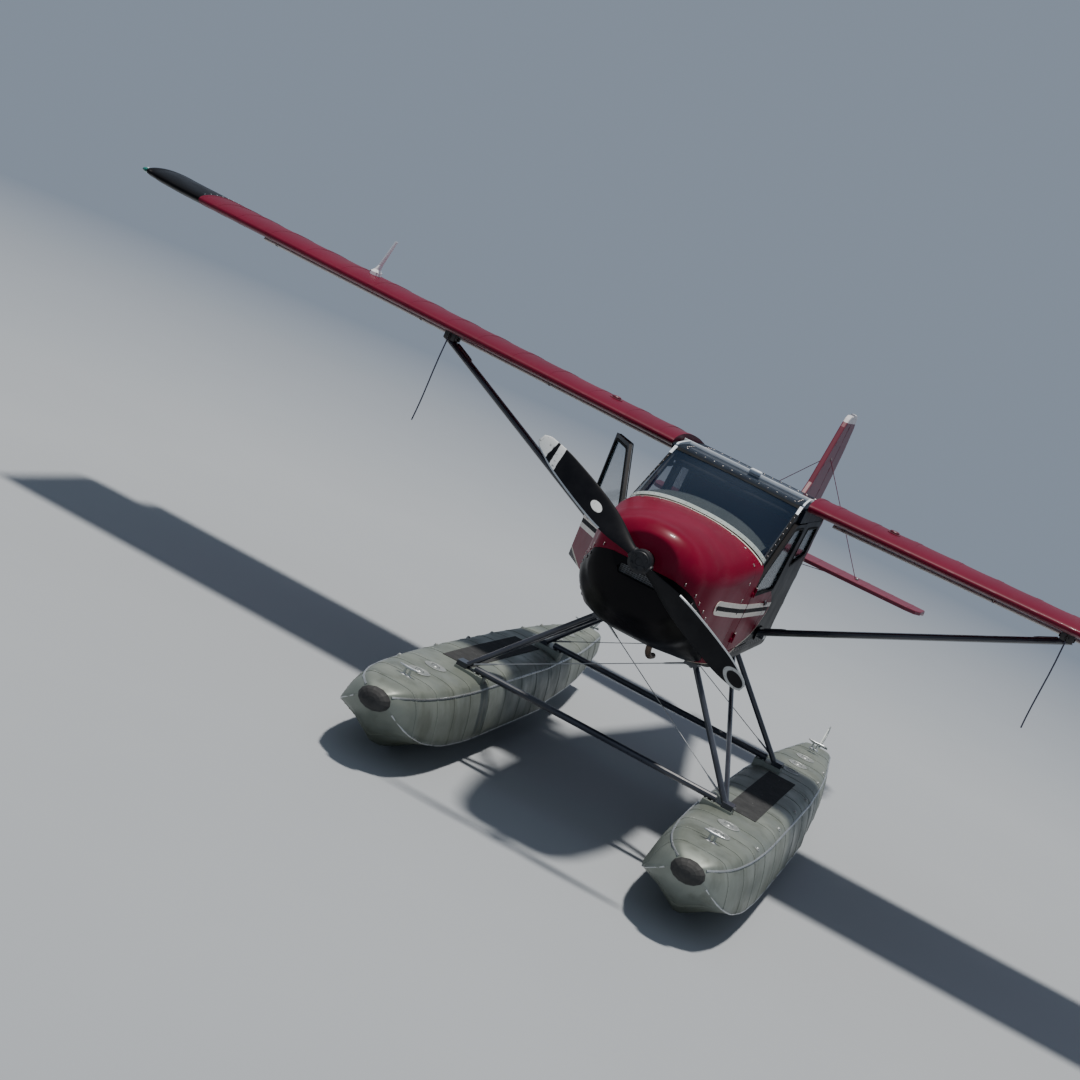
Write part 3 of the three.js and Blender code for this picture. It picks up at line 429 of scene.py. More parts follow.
for side, sign in hands:
    middle_x = sign * float_x
    bm = bmesh.new()
    stations = steps_between(-1955, step_station, 56) + steps_between(step_station + 3, 2700, 36)
    add_rings(bm, [hull_ring(sign, station) for station in stations])
    for station in pad_stations:
        add_block(bm, sign * 907.5, station, 515, (205, 110, 90), 6)
    for z in (339, 471):
        add_block(bm, middle_x, 2691.5, z, (44, 63, 18), 3)
    put(f"hull_{side}", bm, float_skin, 30, f"float_{side}")

    bm = bmesh.new()
    for lap in float_frames:
        edges = ((lap - 14, -2), (lap - 14, 1.3), (lap + 14, 1.3), (lap + 14, -2))
        add_rings(bm, [hull_ring(sign, station, out) for station, out in edges], around=True)
        outline = sum(hull_outline(lap), [])
        for row in (-7, 7):
            for (x, z), (next_x, next_z) in zip(outline, outline[1:] + outline[:1]):
                dx, dz = next_x - x, next_z - z
                length = math.hypot(dx, dz)
                normal = Vector((sign * dz, 0, -dx)) / max(length, 1)
                count = max(1, round(length / rivet_pitch))
                for t in (k / count for k in range(count)):
                    place = at(sign * (float_x + x + dx * t), lap + row, z + dz * t)
                    add_rivet(bm, place + normal * 0.0013, normal, 3.2, 6)
    put(f"hull_laps_{side}", bm, float_skin, 30)

    bm = bmesh.new()
    for edge in (-1, 1):
        for share, out, radius, sides in ((12, 1, 7, 8), (0, -1, 5, 6)):
            rail = []
            for station in steps_between(-1930, 2690, 60):
                x, z = deck_line(station, share)
                rail.append(at(sign * (float_x + edge * (x + out)), station, z))
            add_tube(bm, rail, radius, sides)
    for station in (-1560, 2350):
        for offset in (-17, 17):
            add_turned(bm, at(middle_x + offset, station, 530), (0, 0, 1),
                       [(22, 0), (22, 12), (9, 18), (8, 52), (11, 58)], 14)
        horn = [at(middle_x + x, station, 590 + abs(x) / 14) for x in (-66, -50, -25, 0, 25, 50, 66)]
        add_tube(bm, horn, [4, 7, 9, 10, 9, 7, 4], 10)
    put(f"hull_rails_{side}", bm, bright_rail, 40)

    bm = bmesh.new()
    walkway = []
    for station in steps_between(-640, 940, 20):
        top = deck_line(station, 22)[1]
        section = ((-104, top - 2), (104, top - 2), (104, top + 2.5), (-104, top + 2.5))
        walkway.append([at(sign * (float_x + x), station, z) for x, z in section])
    add_rings(bm, walkway)
    put(f"hull_walkway_{side}", bm, grip_pad, 40)

    bm = bmesh.new()
    for station in hatch_stations:
        middle = at(middle_x, station, deck_line(station, 22)[1])
        lid = [(74, -2), (74, 4), (70, 6), (60, 6), (57, 4), (20, 4), (16, 7), (0.5, 7)]
        add_turned(bm, middle, (0, 0, 1), lid, 32)
        for turn in (math.pi * k / 4 for k in range(8)):
            place = middle + Vector((0.065 * math.cos(turn), 0.065 * math.sin(turn), 0.006))
            add_rivet(bm, place, (0, 0, 1), 4, 6)
        handle = ((-30, 4), (-26, 14), (0, 17), (26, 14), (30, 4))
        add_tube(bm, [middle + Vector((x, 0, z)) / 1000 for x, z in handle], 3)
    for station in pump_stations:
        x, z = deck_line(station, 15)
        add_turned(bm, at(sign * (float_x + x), station, z), (0.3 * sign, 0, 1),
                   [(17, -3), (17, 3), (11, 5), (11, 9), (6, 13), (0.5, 14)], 14)
    for station in pad_stations:
        for x in (828, 868, 960, 1000):
            for offset in (-38, 38):
                add_bolt(bm, at(sign * x, station + offset, 560), (0, 0, 1), -1, 9, 5, 7, 7)
    put(f"hull_hatches_{side}", bm, hatch_cover)

bumper_rubber = paint("bumper_rubber", (0.012, 0.012, 0.013), (0.035, 0.035, 0.034), 9, 0.75, grain=0.4)
dress(bumper_rubber, 50, "bow_bumper_left", "bow_bumper_right")

# Float struts and spreader bars: an N of faired steel tube each side on two bars, painted dark.
# Forged ends are bolted to the belly and to the deck pads, and crossed wires keep the N square.
strut_paint = paint("strut_paint", (0.016, 0.019, 0.028), (0.035, 0.040, 0.055), 4, 0.34, 0.15, coat=0.5)
dress(strut_paint, 40, "float_struts_left", "float_struts_right", "spreader_bar_front", "spreader_bar_rear")
# columns: x and station of a strut's top, x and station of its foot
strut_ends = [(340, -480, 960, -740), (340, 820, 960, 1050)]
wire_metal = paint("wire_metal", (0.42, 0.43, 0.44), (0.3, 0.31, 0.32), 20, 0.35, metallic=0.9)
wires = bmesh.new()
for side, sign in hands:
    bm = bmesh.new()
    for _, _, x, station in strut_ends:
        add_bolt(bm, at(sign * (x + 47), station, 577), (sign, 0, 0), -4, 13, 8, 10, 11)
        add_bolt(bm, at(sign * (x - 30), station, 583), (-sign, 0, 0), -4, 13, 8, 10, 11)
    for x, station, _, _ in strut_ends:
        for offset in (-42, 42):
            add_bolt(bm, at(sign * x, station + offset, 1212), (0, 0, -1), -4, 12, 8, 9, 11)
    put(f"float_strut_bolts_{side}", bm, bolt_metal)
    for top_x, top_station, foot_x, foot_station in strut_ends:
        start = at(sign * (top_x - 30), top_station - 20 * sign, 1216)
        end = at(-sign * (foot_x - 60), foot_station - 20 * sign, 606)
        add_tube(wires, [start, end], 3)
        for place, toward in ((start, end), (end, start)):
            along = (toward - place).normalized()
            add_tube(wires, [place + along * reach for reach in (0, 0.05, 0.14, 0.16)], [7, 7, 6, 3.5])
put("float_brace_wires", wires, wire_metal)

# Water rudders: sheet blades with pressed beads on a turning post behind each stern.
# A nut holds the post above, and bolts hold its brackets on both sides.
rudder_sheet = paint("rudder_sheet", (0.27, 0.30, 0.29), (0.38, 0.41, 0.40), 6, 0.45, 0.25, metallic=0.4)
dress(rudder_sheet, 40, "water_rudder_left", "water_rudder_right")
for side, sign in hands:
    bm = bmesh.new()
    for face in (-1, 1):
        skin_x = sign * float_x + face * 4
        for low, high in (((2790, 470), (2960, 560)), ((2800, 500), (2930, 590))):
            middle = ((low[0] + high[0]) / 2, (low[1] + high[1]) / 2)
            add_tube(bm, [at(skin_x, *place) for place in (low, middle, high)], [2, 4, 2])
        for place in ((2760, 462), (2760, 492), (2850, 478), (2940, 612)):
            add_rivet(bm, at(skin_x, *place), (face, 0, 0))
        add_bolt(bm, at(sign * float_x + face * 56, post_station, 516), (0, 0, 1), -2, 9, 6, 6, 9)
    add_bolt(bm, at(sign * float_x, post_station, 520), (0, 0, 1), -3, 13, 6, 8, 10, 12)
    put(f"water_rudder_beads_{side}", bm, rudder_sheet, body=f"water_rudder_{side}")

# Cabin tub and side panels: painted sheet over the tube frame, split at the sills and behind the doors.
# Each panel ends in a line of small screws, and the belly has a row of drain grommets.
# The maroon ends on the doors in a rounded sweep, and a cream pinstripe follows its edge to the tail.
maroon = (0.200, 0.0020, 0.024)
deep_maroon = (0.150, 0.0015, 0.018)
body_paint = paint("body_paint", maroon, deep_maroon, 1.3, 0.34, 0.1, coat=0.07, grain=0.03, specular=0.07)
cabin_half = 500
# columns: station, height
sweep_edge = [(-748, 1268), (-560, 1330), (-200, 1400), (50, 1436), (165, 1455), (310, 1518), (430, 1610),
              (520, 1880), (1000, 1952), (3700, 1925)]
window_edge = [(-748, 2480), (-556, 2480), (-550, 1792), (130, 1792), (290, 1745), (400, 1690), (440, 1640),
               (470, 1560), (985, 1560), (1000, 2480), (3700, 2480)]


def overlaid(made, amount, colour):
    """Lays a colour over a finish's own."""
    shader = made.node_tree.nodes["Principled BSDF"]
    own = shader.inputs["Base Color"].links[0].from_socket
    feed(shader, "Base Color", mixed(amount, own, colour))


def edge_height(y, edge):
    """The height in metres of an edge line, from the place along the body."""
    first, last = edge[0][0], edge[-1][0]
    share = graded(y, lead_y + first / 1000, lead_y + last / 1000)
    curve = node(y.id_data, "FloatCurve", {"Value": share})
    points = curve.mapping.curves[0].points
    for i, (station, z) in enumerate(edge):
        where = ((station - first) / (last - first), (z - 1200) / 1300)
        if i in (0, len(edge) - 1):
            points[0 if i == 0 else -1].location = where
        else:
            points.new(*where)
    for point in points:
        point.handle_type = "VECTOR"
    curve.mapping.update()
    return graded(curve.outputs["Value"], 0, 1, 1.2, 2.5)


def two_tone(base, name, specular, coat, ajar=0):
    """A copy of a maroon finish with the black sides and the pinstripe."""
    made = base.copy()
    made.name = name
    tree = made.node_tree
    tree.nodes["Principled BSDF"].inputs["Specular IOR Level"].default_value = specular
    tree.nodes["Principled BSDF"].inputs["Coat Weight"].default_value = coat
    where = node(tree, "TexCoord").outputs["Object"]
    if ajar:
        hinge = at(-hinge_x, hinge_station, 0)
        inputs = {"Vector": where, "Center": hinge, "Axis": (0, 0, 1), "Angle": -ajar}
        where = node(tree, "VectorRotate", inputs, rotation_type="AXIS_ANGLE").outputs["Vector"]
    _, y, z = node(tree, "SeparateXYZ", {0: where}).outputs
    line = worked("SUBTRACT", z, edge_height(y, sweep_edge))
    above = worked("SUBTRACT", z, edge_height(y, window_edge))
    dark = worked("MAXIMUM", graded(line, 0.001, -0.001), graded(above, -0.001, 0.001))
    overlaid(made, dark, mixed(cloud(tree, 3, 0.3, 0.7), (0.005, 0.005, 0.006), (0.011, 0.010, 0.012)))
    pin = times(graded(worked("ABSOLUTE", line), 0.0065, 0.0055), graded(above, 0.001, -0.001))
    overlaid(made, pin, (0.62, 0.57, 0.46))
    return made


overlaid(body_paint, cloud(body_paint.node_tree, 11, 0.5, 0.8, 0.0, 0.09, 6), (0.20, 0.10, 0.10))
side_paint = two_tone(body_paint, "side_paint", 0.02, 0)
dress(side_paint, 30, "cabin_tub", "side_panel_left", "side_panel_right")
screw_metal = paint("screw_metal", (0.42, 0.38, 0.36), (0.30, 0.26, 0.25), 30, 0.35, metallic=0.7)
bm = bmesh.new()
screws = [(station, 1372) for station in steps_between(-520, 960, 19)]
screws += [(station, 1412) for station in steps_between(220, 970, 10)]
screws += [(975, z) for z in steps_between(1480, 2230, 10)]
for sign in (-1, 1):
    for station, z in screws:
        add_rivet(bm, at(sign * (cabin_half + 0.4), station, z), (sign, 0, 0))
for station in (-400, -100, 240, 620, 900):
    add_turned(bm, at(0, station, 1250), (0, 0, -1), [(14, -2), (14, 2), (9, 3), (7, 1), (0.5, 1)])
put("cabin_screws", bm, screw_metal)

# Cabin linings: grey fabric-covered board on the side panels and a ribbed rubber mat on the floor.
# The board is screwed inside the frame and the mat is cut to the tub.
lining_board = paint("lining_board", (0.085, 0.088, 0.095), (0.11, 0.112, 0.12), 5, 0.9, grain=0.5)
floor_mat = paint("floor_mat", (0.022, 0.023, 0.025), (0.04, 0.04, 0.042), 9, 0.88, grain=0.6)
bm = bmesh.new()
for sign in (-1, 1):
    add_block(bm, sign * 463, 660, 1670, (6, 560, 500), 4)
    add_tube(bm, [at(sign * 458, 400, 1915), at(sign * 458, 920, 1915)], 7)
    for station in (420, 660, 900):
        for z in (1450, 1890):
            add_rivet(bm, at(sign * 459, station, z), (-sign, 0, 0), 6)
put("cabin_linings", bm, lining_board)
bm = bmesh.new()
add_block(bm, 0, -260, 1277.5, (700, 480, 4), 1.5)
for x in steps_between(-320, 320, 16):
    add_block(bm, x, -260, 1280, (14, 460, 3), 1)
put("floor_mat", bm, floor_mat)

# Cabin frame: welded steel tube, primed grey, with the door posts and the cross tubes above the seats.
# Foam sleeves pad the tubes near the heads.
frame_steel = paint("frame_steel", (0.05, 0.053, 0.058), (0.085, 0.088, 0.092), 12, 0.42, metallic=0.25)
foam_sleeve = paint("foam_sleeve", (0.02, 0.02, 0.021), (0.035, 0.035, 0.036), 25, 0.95, grain=0.8)
dress(frame_steel, 40, "cabin_frame")
bm = bmesh.new()
for station, z, start, end in ((10, 2310, -400, -60), (10, 2310, 60, 400), (357, 2262, -390, 390)):
    sleeve = [at(x, station, z) for x in steps_between(start, end, 6)]
    add_tube(bm, sleeve, [18, 21, 21, 21, 21, 21, 18], 14)
put("frame_sleeves", bm, foam_sleeve, 40)

# Boot cowl: sheet between the firewall and the doors, with the door hinges' fixed knuckles on its sides.
# Its rings have flat sides between rounded corners, as those of the cowl and the rear fuselage have.
# A hood of pale cloth lies over the instrument panel, with a rolled edge.
# columns: station, half width, top, bottom, top corner x and z, bottom corner x and z
boot_table = [(-748, 490, 2142, 1262, 470, 205, 240, 170), (-560, 500, 2142, 1250, 480, 190, 110, 90)]


def body_ring(row, out=0.0, steps=12):
    station, half, top, bottom, top_x, top_z, low_x, low_z = row
    high, low = (top - top_z, top_x + out, top_z + out), (bottom + low_z, low_x + out, low_z + out)
    corners = [(half - top_x, *high), (top_x - half, *high), (low_x - half, *low), (half - low_x, *low)]
    ring = []
    for quarter, (x, z, radius_x, radius_z) in enumerate(corners):
        for i in range(steps + 1):
            turn = (quarter + i / steps) * math.pi / 2
            ring.append(at(x + radius_x * math.cos(turn), station, z + radius_z * math.sin(turn)))
    return ring


hinge_x, hinge_station = 509, -551
bm = bmesh.new()
shell = [(station, 0) for station in steps_between(-748, -560, 6)]
shell += [(station, -22) for station in steps_between(-560, -720, 5)]
add_rings(bm, [body_ring(fair_row(boot_table, station), out) for station, out in shell])
for sign in (-1, 1):
    for low, high in ((1470, 1500), (1790, 1820)):
        add_block(bm, sign * 500, -568, (low + high) / 2, (16, 34, high - low), 3)
        add_tube(bm, [at(sign * hinge_x, hinge_station, z) for z in (low, high)], 7, 16)
put("boot_cowl_skin", bm, side_paint, 30, "boot_cowl")
hood_start, hood_end = -722, -385
glare_cloth = paint("glare_cloth", (0.30, 0.35, 0.33), (0.38, 0.43, 0.41), 6, 0.85, grain=0.6)
bm = bmesh.new()
hood = []
for station in steps_between(hood_start, hood_end, 16):
    rise = max(0, station + 566) * 0.25
    share = min(1, (station + 728) / 174)
    half = min(419, 484 * math.sin(math.acos(1 - 0.8264 * share)))
    row = []
    for x in steps_between(-half, half, 24):
        row.append((x, 1952 + (190 + rise) * math.sqrt(1 - (max(0, abs(x) - 20) / 480) ** 2)))
    hood.append([at(x, station, z + 3) for x, z in row] + [at(x, station, z + 0.6) for x, z in reversed(row)])
add_rings(bm, hood)
add_tube(bm, [point + Vector((0, 0, -0.004)) for point in hood[-1][:25]], 7, 10)
put("glareshield", bm, glare_cloth, 50)

# Instrument panel: a sheet of grey-painted aluminium with round instruments, a radio face and switches.
# Dials have plain ticks and pointers, with no words on them.
panel_paint = paint("panel_paint", (0.035, 0.036, 0.04), (0.06, 0.061, 0.066), 12, 0.6, grain=0.5)
dial_face = paint("dial_face", (0.006, 0.006, 0.007), (0.012, 0.012, 0.013), 20, 0.35)
dial_white = paint("dial_white", (0.75, 0.75, 0.72), (0.6, 0.6, 0.58), 30, 0.6)
dress(panel_paint, 30, "instrument_panel")
# columns: x, height, radius
dials = [
    (-300, 1965, 40), (-205, 2010, 40), (-205, 1915, 40), (-110, 2030, 40), (-110, 1935, 40), (-20, 1985, 30),
    (60, 2035, 28), (60, 1965, 28), (60, 1895, 28), (300, 1960, 32), (300, 1885, 32),
]
rearward = (0, 1, 0)
bezels, faces, marks = bmesh.new(), bmesh.new(), bmesh.new()
for i, (x, z, radius) in enumerate(dials):
    middle = at(x, -569.5, z)
    rim = radius + 6
    add_turned(bezels, middle, rearward, [(rim, -1), (rim, 5), (radius + 2, 8), (radius, 8), (radius, 2)], 28)
    add_turned(faces, middle, rearward, [(radius, 0), (radius, 3), (1, 3.2)], 28)
    for k in range(24):
        turn = math.radians(15 * k)
        spoke = Vector((math.cos(turn), 0, math.sin(turn))) * radius / 1000
        tick = [middle + spoke * reach + Vector((0, 0.0036, 0)) for reach in (0.8 if k % 3 else 0.72, 0.93)]
        add_tube(marks, tick, 0.7, 4)
    turn = math.radians(40 + 67 * i)
    tip = Vector((math.cos(turn), 0, math.sin(turn))) * radius / 1000 * 0.7
    add_tube(marks, [middle + tip * reach + Vector((0, 0.005, 0)) for reach in (-0.2, 1)], [1.6, 0.6], 6)
for z, tall in ((2000, 46), (1940, 36)):
    add_block(bezels, 190, -565, z, (110, 14, tall), 3)
for x in (150, 230):
    add_bolt(bezels, at(x, -558, 2000), rearward, -1, 9, 10, 7, 12, 16)
for x in steps_between(120, 260, 6):
    add_turned(bezels, at(x, -570, 1880), rearward, [(6, -1), (6, 3), (3, 4), (2.4, 16), (0.5, 17)], 10)
knob = [(8, -1), (8, 20), (16, 22), (16, 32), (12, 36), (0.5, 36)]
add_turned(bezels, at(0, -570, 1850), rearward, knob, 18)
add_block(faces, 190, -557.5, 2000, (52, 2, 26), 0.8)
put("dial_bezels", bezels, frame_steel)
put("dial_faces", faces, dial_face)
put("dial_marks", marks, dial_white)

# Seats: two padded buckets of grey cloth with sewn channels and piping, and a lap belt each.
# The cushion and the back are foam, blown out a little between the seams by a short cloth run.
seat_low, seat_middle, seat_high = 40, 225, 410
foam_swell = 0.010
seam_depth = 0.006
seat_cloth, tree, shader = finish("seat_cloth", (0.05, 0.052, 0.058), 0.92)
threads = times(weave(tree, 420.0, 1.0, "X"), weave(tree, 420.0, 1.0, "Y"))
cloth_cloud = mixed(cloud(tree, 6, 0.3, 0.7), (0.052, 0.054, 0.06), (0.075, 0.077, 0.085))
feed(shader, "Base Color", mixed(threads, cloth_cloud, (0.028, 0.029, 0.033)))
bumped(shader, threads, 0.5, 0.0006)
shader.inputs["Sheen Weight"].default_value = 0.3
shell_plastic = paint("seat_shell", (0.03, 0.03, 0.032), (0.05, 0.05, 0.052), 10, 0.6, grain=0.5)
piping_cloth = paint("piping_cloth", (0.11, 0.012, 0.022), (0.14, 0.018, 0.028), 20, 0.8, grain=0.5)


def settle(thing):
    """Applies a piece's modifiers."""
    seen = thing.evaluated_get(bpy.context.evaluated_depsgraph_get())
    thing.data = bpy.data.meshes.new_from_object(seen)
    thing.modifiers.clear()


def swell(pad):
    """Blows the foam up a little, as filled cloth does."""
    remesh = pad.modifiers.new("even", "REMESH")
    remesh.mode = "VOXEL"
    remesh.voxel_size = 0.007
    settle(pad)
    before = [vert.co.copy() for vert in pad.data.vertices]
    cloth = pad.modifiers.new("foam", "CLOTH")
    cloth.settings.use_pressure = True
    cloth.settings.uniform_pressure_force = 4
    cloth.settings.effector_weights.gravity = 0
    for frame_number in range(1, 21):
        bpy.context.scene.frame_set(frame_number)
    settle(pad)
    bpy.context.scene.frame_set(1)
    for vert, old in zip(pad.data.vertices, before):
        move = vert.co - old
        if move.length > foam_swell:
            vert.co = old + move.normalized() * foam_swell


def puffed(name, front, rear, thickness, channels):
    """A foam pad of the left seat between its front and rear edges, crowned and with sewn channels."""
    along = rear - front
    normal = Vector((1, 0, 0)).cross(along).normalized()
    bm = bmesh.new()
    rings = []
    for i in range(25):
        u = i / 24
        ends = 0.55 + 0.45 * math.sin(math.pi * min(max(u, 0.03), 0.97)) ** 0.4
        place = front.lerp(rear, 0.02 + 0.96 * u)
        ring = []
        for turn in (2 * math.pi * k / 28 for k in range(28)):
            wide, thick = math.cos(turn), math.sin(turn)
            squared = 1 / max(abs(wide) ** 5 + abs(thick) ** 5, 1e-6) ** 0.2
            x = seat_middle + (seat_high - seat_low - 24) / 2 * wide * squared
            lift = thickness / 2 * thick * squared * ends
            if abs(thick) > 0.5:
                lift += math.copysign(6 * (1 - wide * wide), thick)
            ring.append(Vector((x / 1000, place.y, place.z)) + normal * lift / 1000)
        rings.append(ring)
    add_rings(bm, rings)
    pad = put(name, bm, seat_cloth, 60)
    swell(pad)
    for vert in pad.data.vertices:
        u = (vert.co - front).dot(along) / along.length_squared
        if (vert.co - front.lerp(rear, u)).dot(normal) > 0:
            groove = max(math.exp(-((u - channel) * along.length * 1000 / 7) ** 2) for channel in channels)
            vert.co -= normal * seam_depth * groove
    smooth(pad.data, None)
    return pad


pads = [
    puffed("seat_cushion_left", at(0, 52, 1522), at(0, 372, 1500), 66, (0.02, 0.27, 0.52, 0.77)),
    puffed("seat_back_left", at(0, 412, 1545), at(0, 516, 1960), 58, (0.02, 0.22, 0.42, 0.62, 0.82)),
]
for pad in pads:
    twin = bpy.data.objects.new(pad.name.replace("left", "right"), pad.data.copy())
    for vert in twin.data.vertices:
        vert.co.x = -vert.co.x
    twin.data.flip_normals()
    link_up(twin, seat_cloth, "airframe")
bucket = [(60, 1278), (430, 1278), (566, 1780), (560, 1985), (545, 1988), (548, 1790), (425, 1500),
          (395, 1462), (60, 1480), (34, 1500)]
for side, sign in hands:
    bm = bmesh.new()
    rims = ((seat_low + 4, 10), (seat_low + 14, 0), (seat_high - 14, 0), (seat_high - 4, 10))
    add_rings(bm, [[at(sign * x, *place) for place in grown(bucket, -shrink)] for x, shrink in rims])
    put(f"seat_shell_{side}", bm, shell_plastic, 40, f"seat_{side}")
    bm = bmesh.new()
    for x in (seat_low + 16, seat_high - 16):
        for seam in (((50, 1540), (120, 1556), (300, 1548), (372, 1530)),
                     ((398, 1562), (424, 1690), (462, 1840), (494, 1958))):
            add_tube(bm, curved([at(sign * x, *place) for place in seam]), 4)
    put(f"seat_piping_{side}", bm, piping_cloth, 50)
    bm = bmesh.new()
    belt = ((48, 396, 1545), (90, 330, 1566), (160, 270, 1572), (225, 250, 1574), (290, 270, 1572),
            (360, 330, 1566), (402, 396, 1545))
    add_tube(bm, curved([at(sign * x, s, z) for x, s, z in belt]), 24, flat=0.08)
    add_block(bm, sign * seat_middle, 250, 1580, (62, 52, 12), 4)
    put(f"seat_belt_{side}", bm, foam_sleeve, 50)

# Control stick and rudder pedals: painted tube and sheet, with moulded rubber grips and ribbed treads.
# The stick is forked so that each seat has a grip.
dress(strut_paint, 40, "control_stick")
dress(frame_steel, 40, "rudder_pedals")
bm = bmesh.new()
for sign in (-1, 1):
    grip = ((151, -124.6, 1655), (152, -123.5, 1685), (153, -122.4, 1715), (154, -121.2, 1740),
            (155, -120, 1765), (155, -119.6, 1774))
    add_tube(bm, [at(sign * x, s, z) for x, s, z in grip], [17, 20, 18, 20, 19, 10], 14)
    add_bolt(bm, at(sign * 155, -119, 1772), (0, 0, 1), -1, 6, 4, 4, 6, 12)
add_turned(bm, at(0, -148, 1278), (0, 0, 1), [(60, -1), (56, 10), (40, 22), (34, 30), (24, 44), (17, 60)], 20)
for x in (-330, -150, 150, 330):
    for z in steps_between(1350, 1470, 8):
        add_tube(bm, [at(x - 36, -516.5, z), at(x + 36, -516.5, z)], 3, 6)
put("stick_grips", bm, floor_mat, 40)

# Engine, flange and exhaust: one cast block against the firewall and a bent steel pipe below.
# The pipe is clamped at the belly outlet and has gone brown with heat.
cast_metal = paint("cast_metal", (0.10, 0.10, 0.105), (0.16, 0.16, 0.165), 14, 0.55, metallic=0.6, grain=0.7)
pipe_brown, pipe_dark = (0.16, 0.11, 0.08), (0.09, 0.07, 0.065)
pipe_metal = paint("pipe_metal", pipe_brown, pipe_dark, 8, 0.5, 0.25, metallic=0.7, grain=0.4)
dress(cast_metal, 30, "engine_block", "prop_flange")
dress(pipe_metal, 50, "exhaust_pipe")
bm = bmesh.new()
add_turned(bm, at(110, -925, 1332), (0.0, 0.25, -1), [(21, -12), (26, -12), (26, 12), (21, 12)], 24)
add_bolt(bm, at(136, -925, 1332), (1, 0, 0), -6, 7, 8, 5, 11)
put("exhaust_clamp", bm, bolt_metal)

# Cowl: glass-fibre shell in two halves, a maroon nose and top and a black chin, split along a slant.
# Turn fasteners hold the halves together; the chin has an inlet with a screen and an outlet below.
cowl_front, cowl_rear = -1625, -752
cowl_skin = 12
shaft_radius = 58
hub_z = 1848
corner_steps = 14
cowl_table = [
    (cowl_front, 205, 2012, 1690, 195, 150, 195, 150), (-1585, 280, 2052, 1575, 268, 205, 262, 215),
    (-1450, 365, 2090, 1430, 350, 255, 335, 265), (-1150, 438, 2122, 1320, 424, 270, 372, 265),
    (cowl_rear, 490, 2142, 1262, 470, 205, 240, 170),
]
split_front = (-1700, 1862)
split_rear = (-700, 1272)
split_slope = (split_rear[1] - split_front[1]) / (split_rear[0] - split_front[0])
chin_black, chin_worn = (0.002, 0.002, 0.003), (0.005, 0.004, 0.005)
chin_paint = paint("chin_paint", chin_black, chin_worn, 2.2, 0.36, grain=0.03, specular=0.09)


def cowl_ring(station, out=0.0):
    return body_ring(fair_row(cowl_table, station), out, corner_steps)


def hole_ring(station):
    ring = []
    for quarter in range(4):
        for i in range(corner_steps + 1):
            turn = (quarter + i / corner_steps) * math.pi / 2
            ring.append(at(shaft_radius * math.cos(turn), station, hub_z + shaft_radius * math.sin(turn)))
    return ring


def prism(outline, ends, upright=True):
    """A block with a side outline of station and height, or with a front outline of x and height."""
    cutter = bmesh.new()
    add_rings(cutter, [[at(end, u, z) if upright else at(u, end, z) for u, z in outline] for end in ends])
    return cutter


def cut_with(thing, cutter, kind="DIFFERENCE"):
    mesh = bpy.data.meshes.new("cutter")
    bmesh.ops.recalc_face_normals(cutter, faces=cutter.faces)
    cutter.to_mesh(mesh)
    cutter.free()
    tool = bpy.data.objects.new("cutter", mesh)
    bpy.context.collection.objects.link(tool)
    made = thing.modifiers.new("cut", "BOOLEAN")
    made.operation = kind
    made.solver = "EXACT"
    made.object = tool
    settle(thing)
    bpy.data.objects.remove(tool)


face, face_hole = cowl_ring(cowl_front, -9), hole_ring(cowl_front - 1)
rings = [hole_ring(-1611), face_hole]
rings += [[a.lerp(b, share) for a, b in zip(face_hole, face)] for share in (0.5, 0.9)] + [face]
rings += [cowl_ring(station, out) for station, out in ((-1623.5, -4), (-1620, -1), (-1614, 0))]
rings += [cowl_ring(station) for station in steps_between(-1600, cowl_rear, 34)]
rings += [cowl_ring(station, -cowl_skin) for station in steps_between(cowl_rear, -1600, 12) + [-1611]]
outlet = [(-960, 1150), (-790, 1150), (-790, 1360), (-960, 1360)]
chin_inlet = [(-120, 1715), (120, 1715), (140, 1745), (120, 1775), (-120, 1775), (-140, 1745)]
for half, far, gap, material, slot in (
    ("upper", 2700, 1.2, body_paint, "maroon_paint"), ("lower", 900, -1.2, chin_paint, "black_paint"),
):
    bm = bmesh.new()
    add_rings(bm, rings, around=True)
    shell = put(f"cowl_{half}_skin", bm, material, 35, f"cowl_{half}")
    keep = [(station, z + gap) for station, z in (split_front, split_rear)]
    cut_with(shell, prism(keep + [(split_rear[0], far), (split_front[0], far)], (-700, 700)), "INTERSECT")
    cut_with(shell, prism(outlet, (-170, 170)))
    if half == "lower":
        cut_with(shell, prism(chin_inlet, (-1700, -1560), upright=False))
    shell.data.materials.clear()
    shell.data.materials.append(material)
    smooth(shell.data, 35)


def body_point(station, turn, out=0.0):
    """The place on the nose's skin in the direction of turn (0 is left, a quarter is up) and its normal."""
    row = fair_row(cowl_table if station <= cowl_rear else boot_table, station)
    middle_z = (row[2] + row[3]) / 2
    right, up = math.cos(turn), math.sin(turn)
    ring = [(place.x * 1000, place.z * 1000 - middle_z) for place in body_ring(row, 0, 24)]
    for (ax, az), (bx, bz) in zip(ring, ring[1:] + ring[:1]):
        ex, ez = bx - ax, bz - az
        turned = right * ez - up * ex
        if abs(turned) < 1e-9:
            continue
        reach = (ax * ez - az * ex) / turned
        share = (ax * up - az * right) / turned
        if reach > 0 and -1e-6 <= share <= 1 + 1e-6:
            length = math.hypot(ex, ez) or 1
            normal = Vector((ez / length, 0, -ex / length))
            return at(reach * right, station, middle_z + reach * up) + normal * out / 1000, normal
    return at(0, station, middle_z), Vector((0, 0, 1))


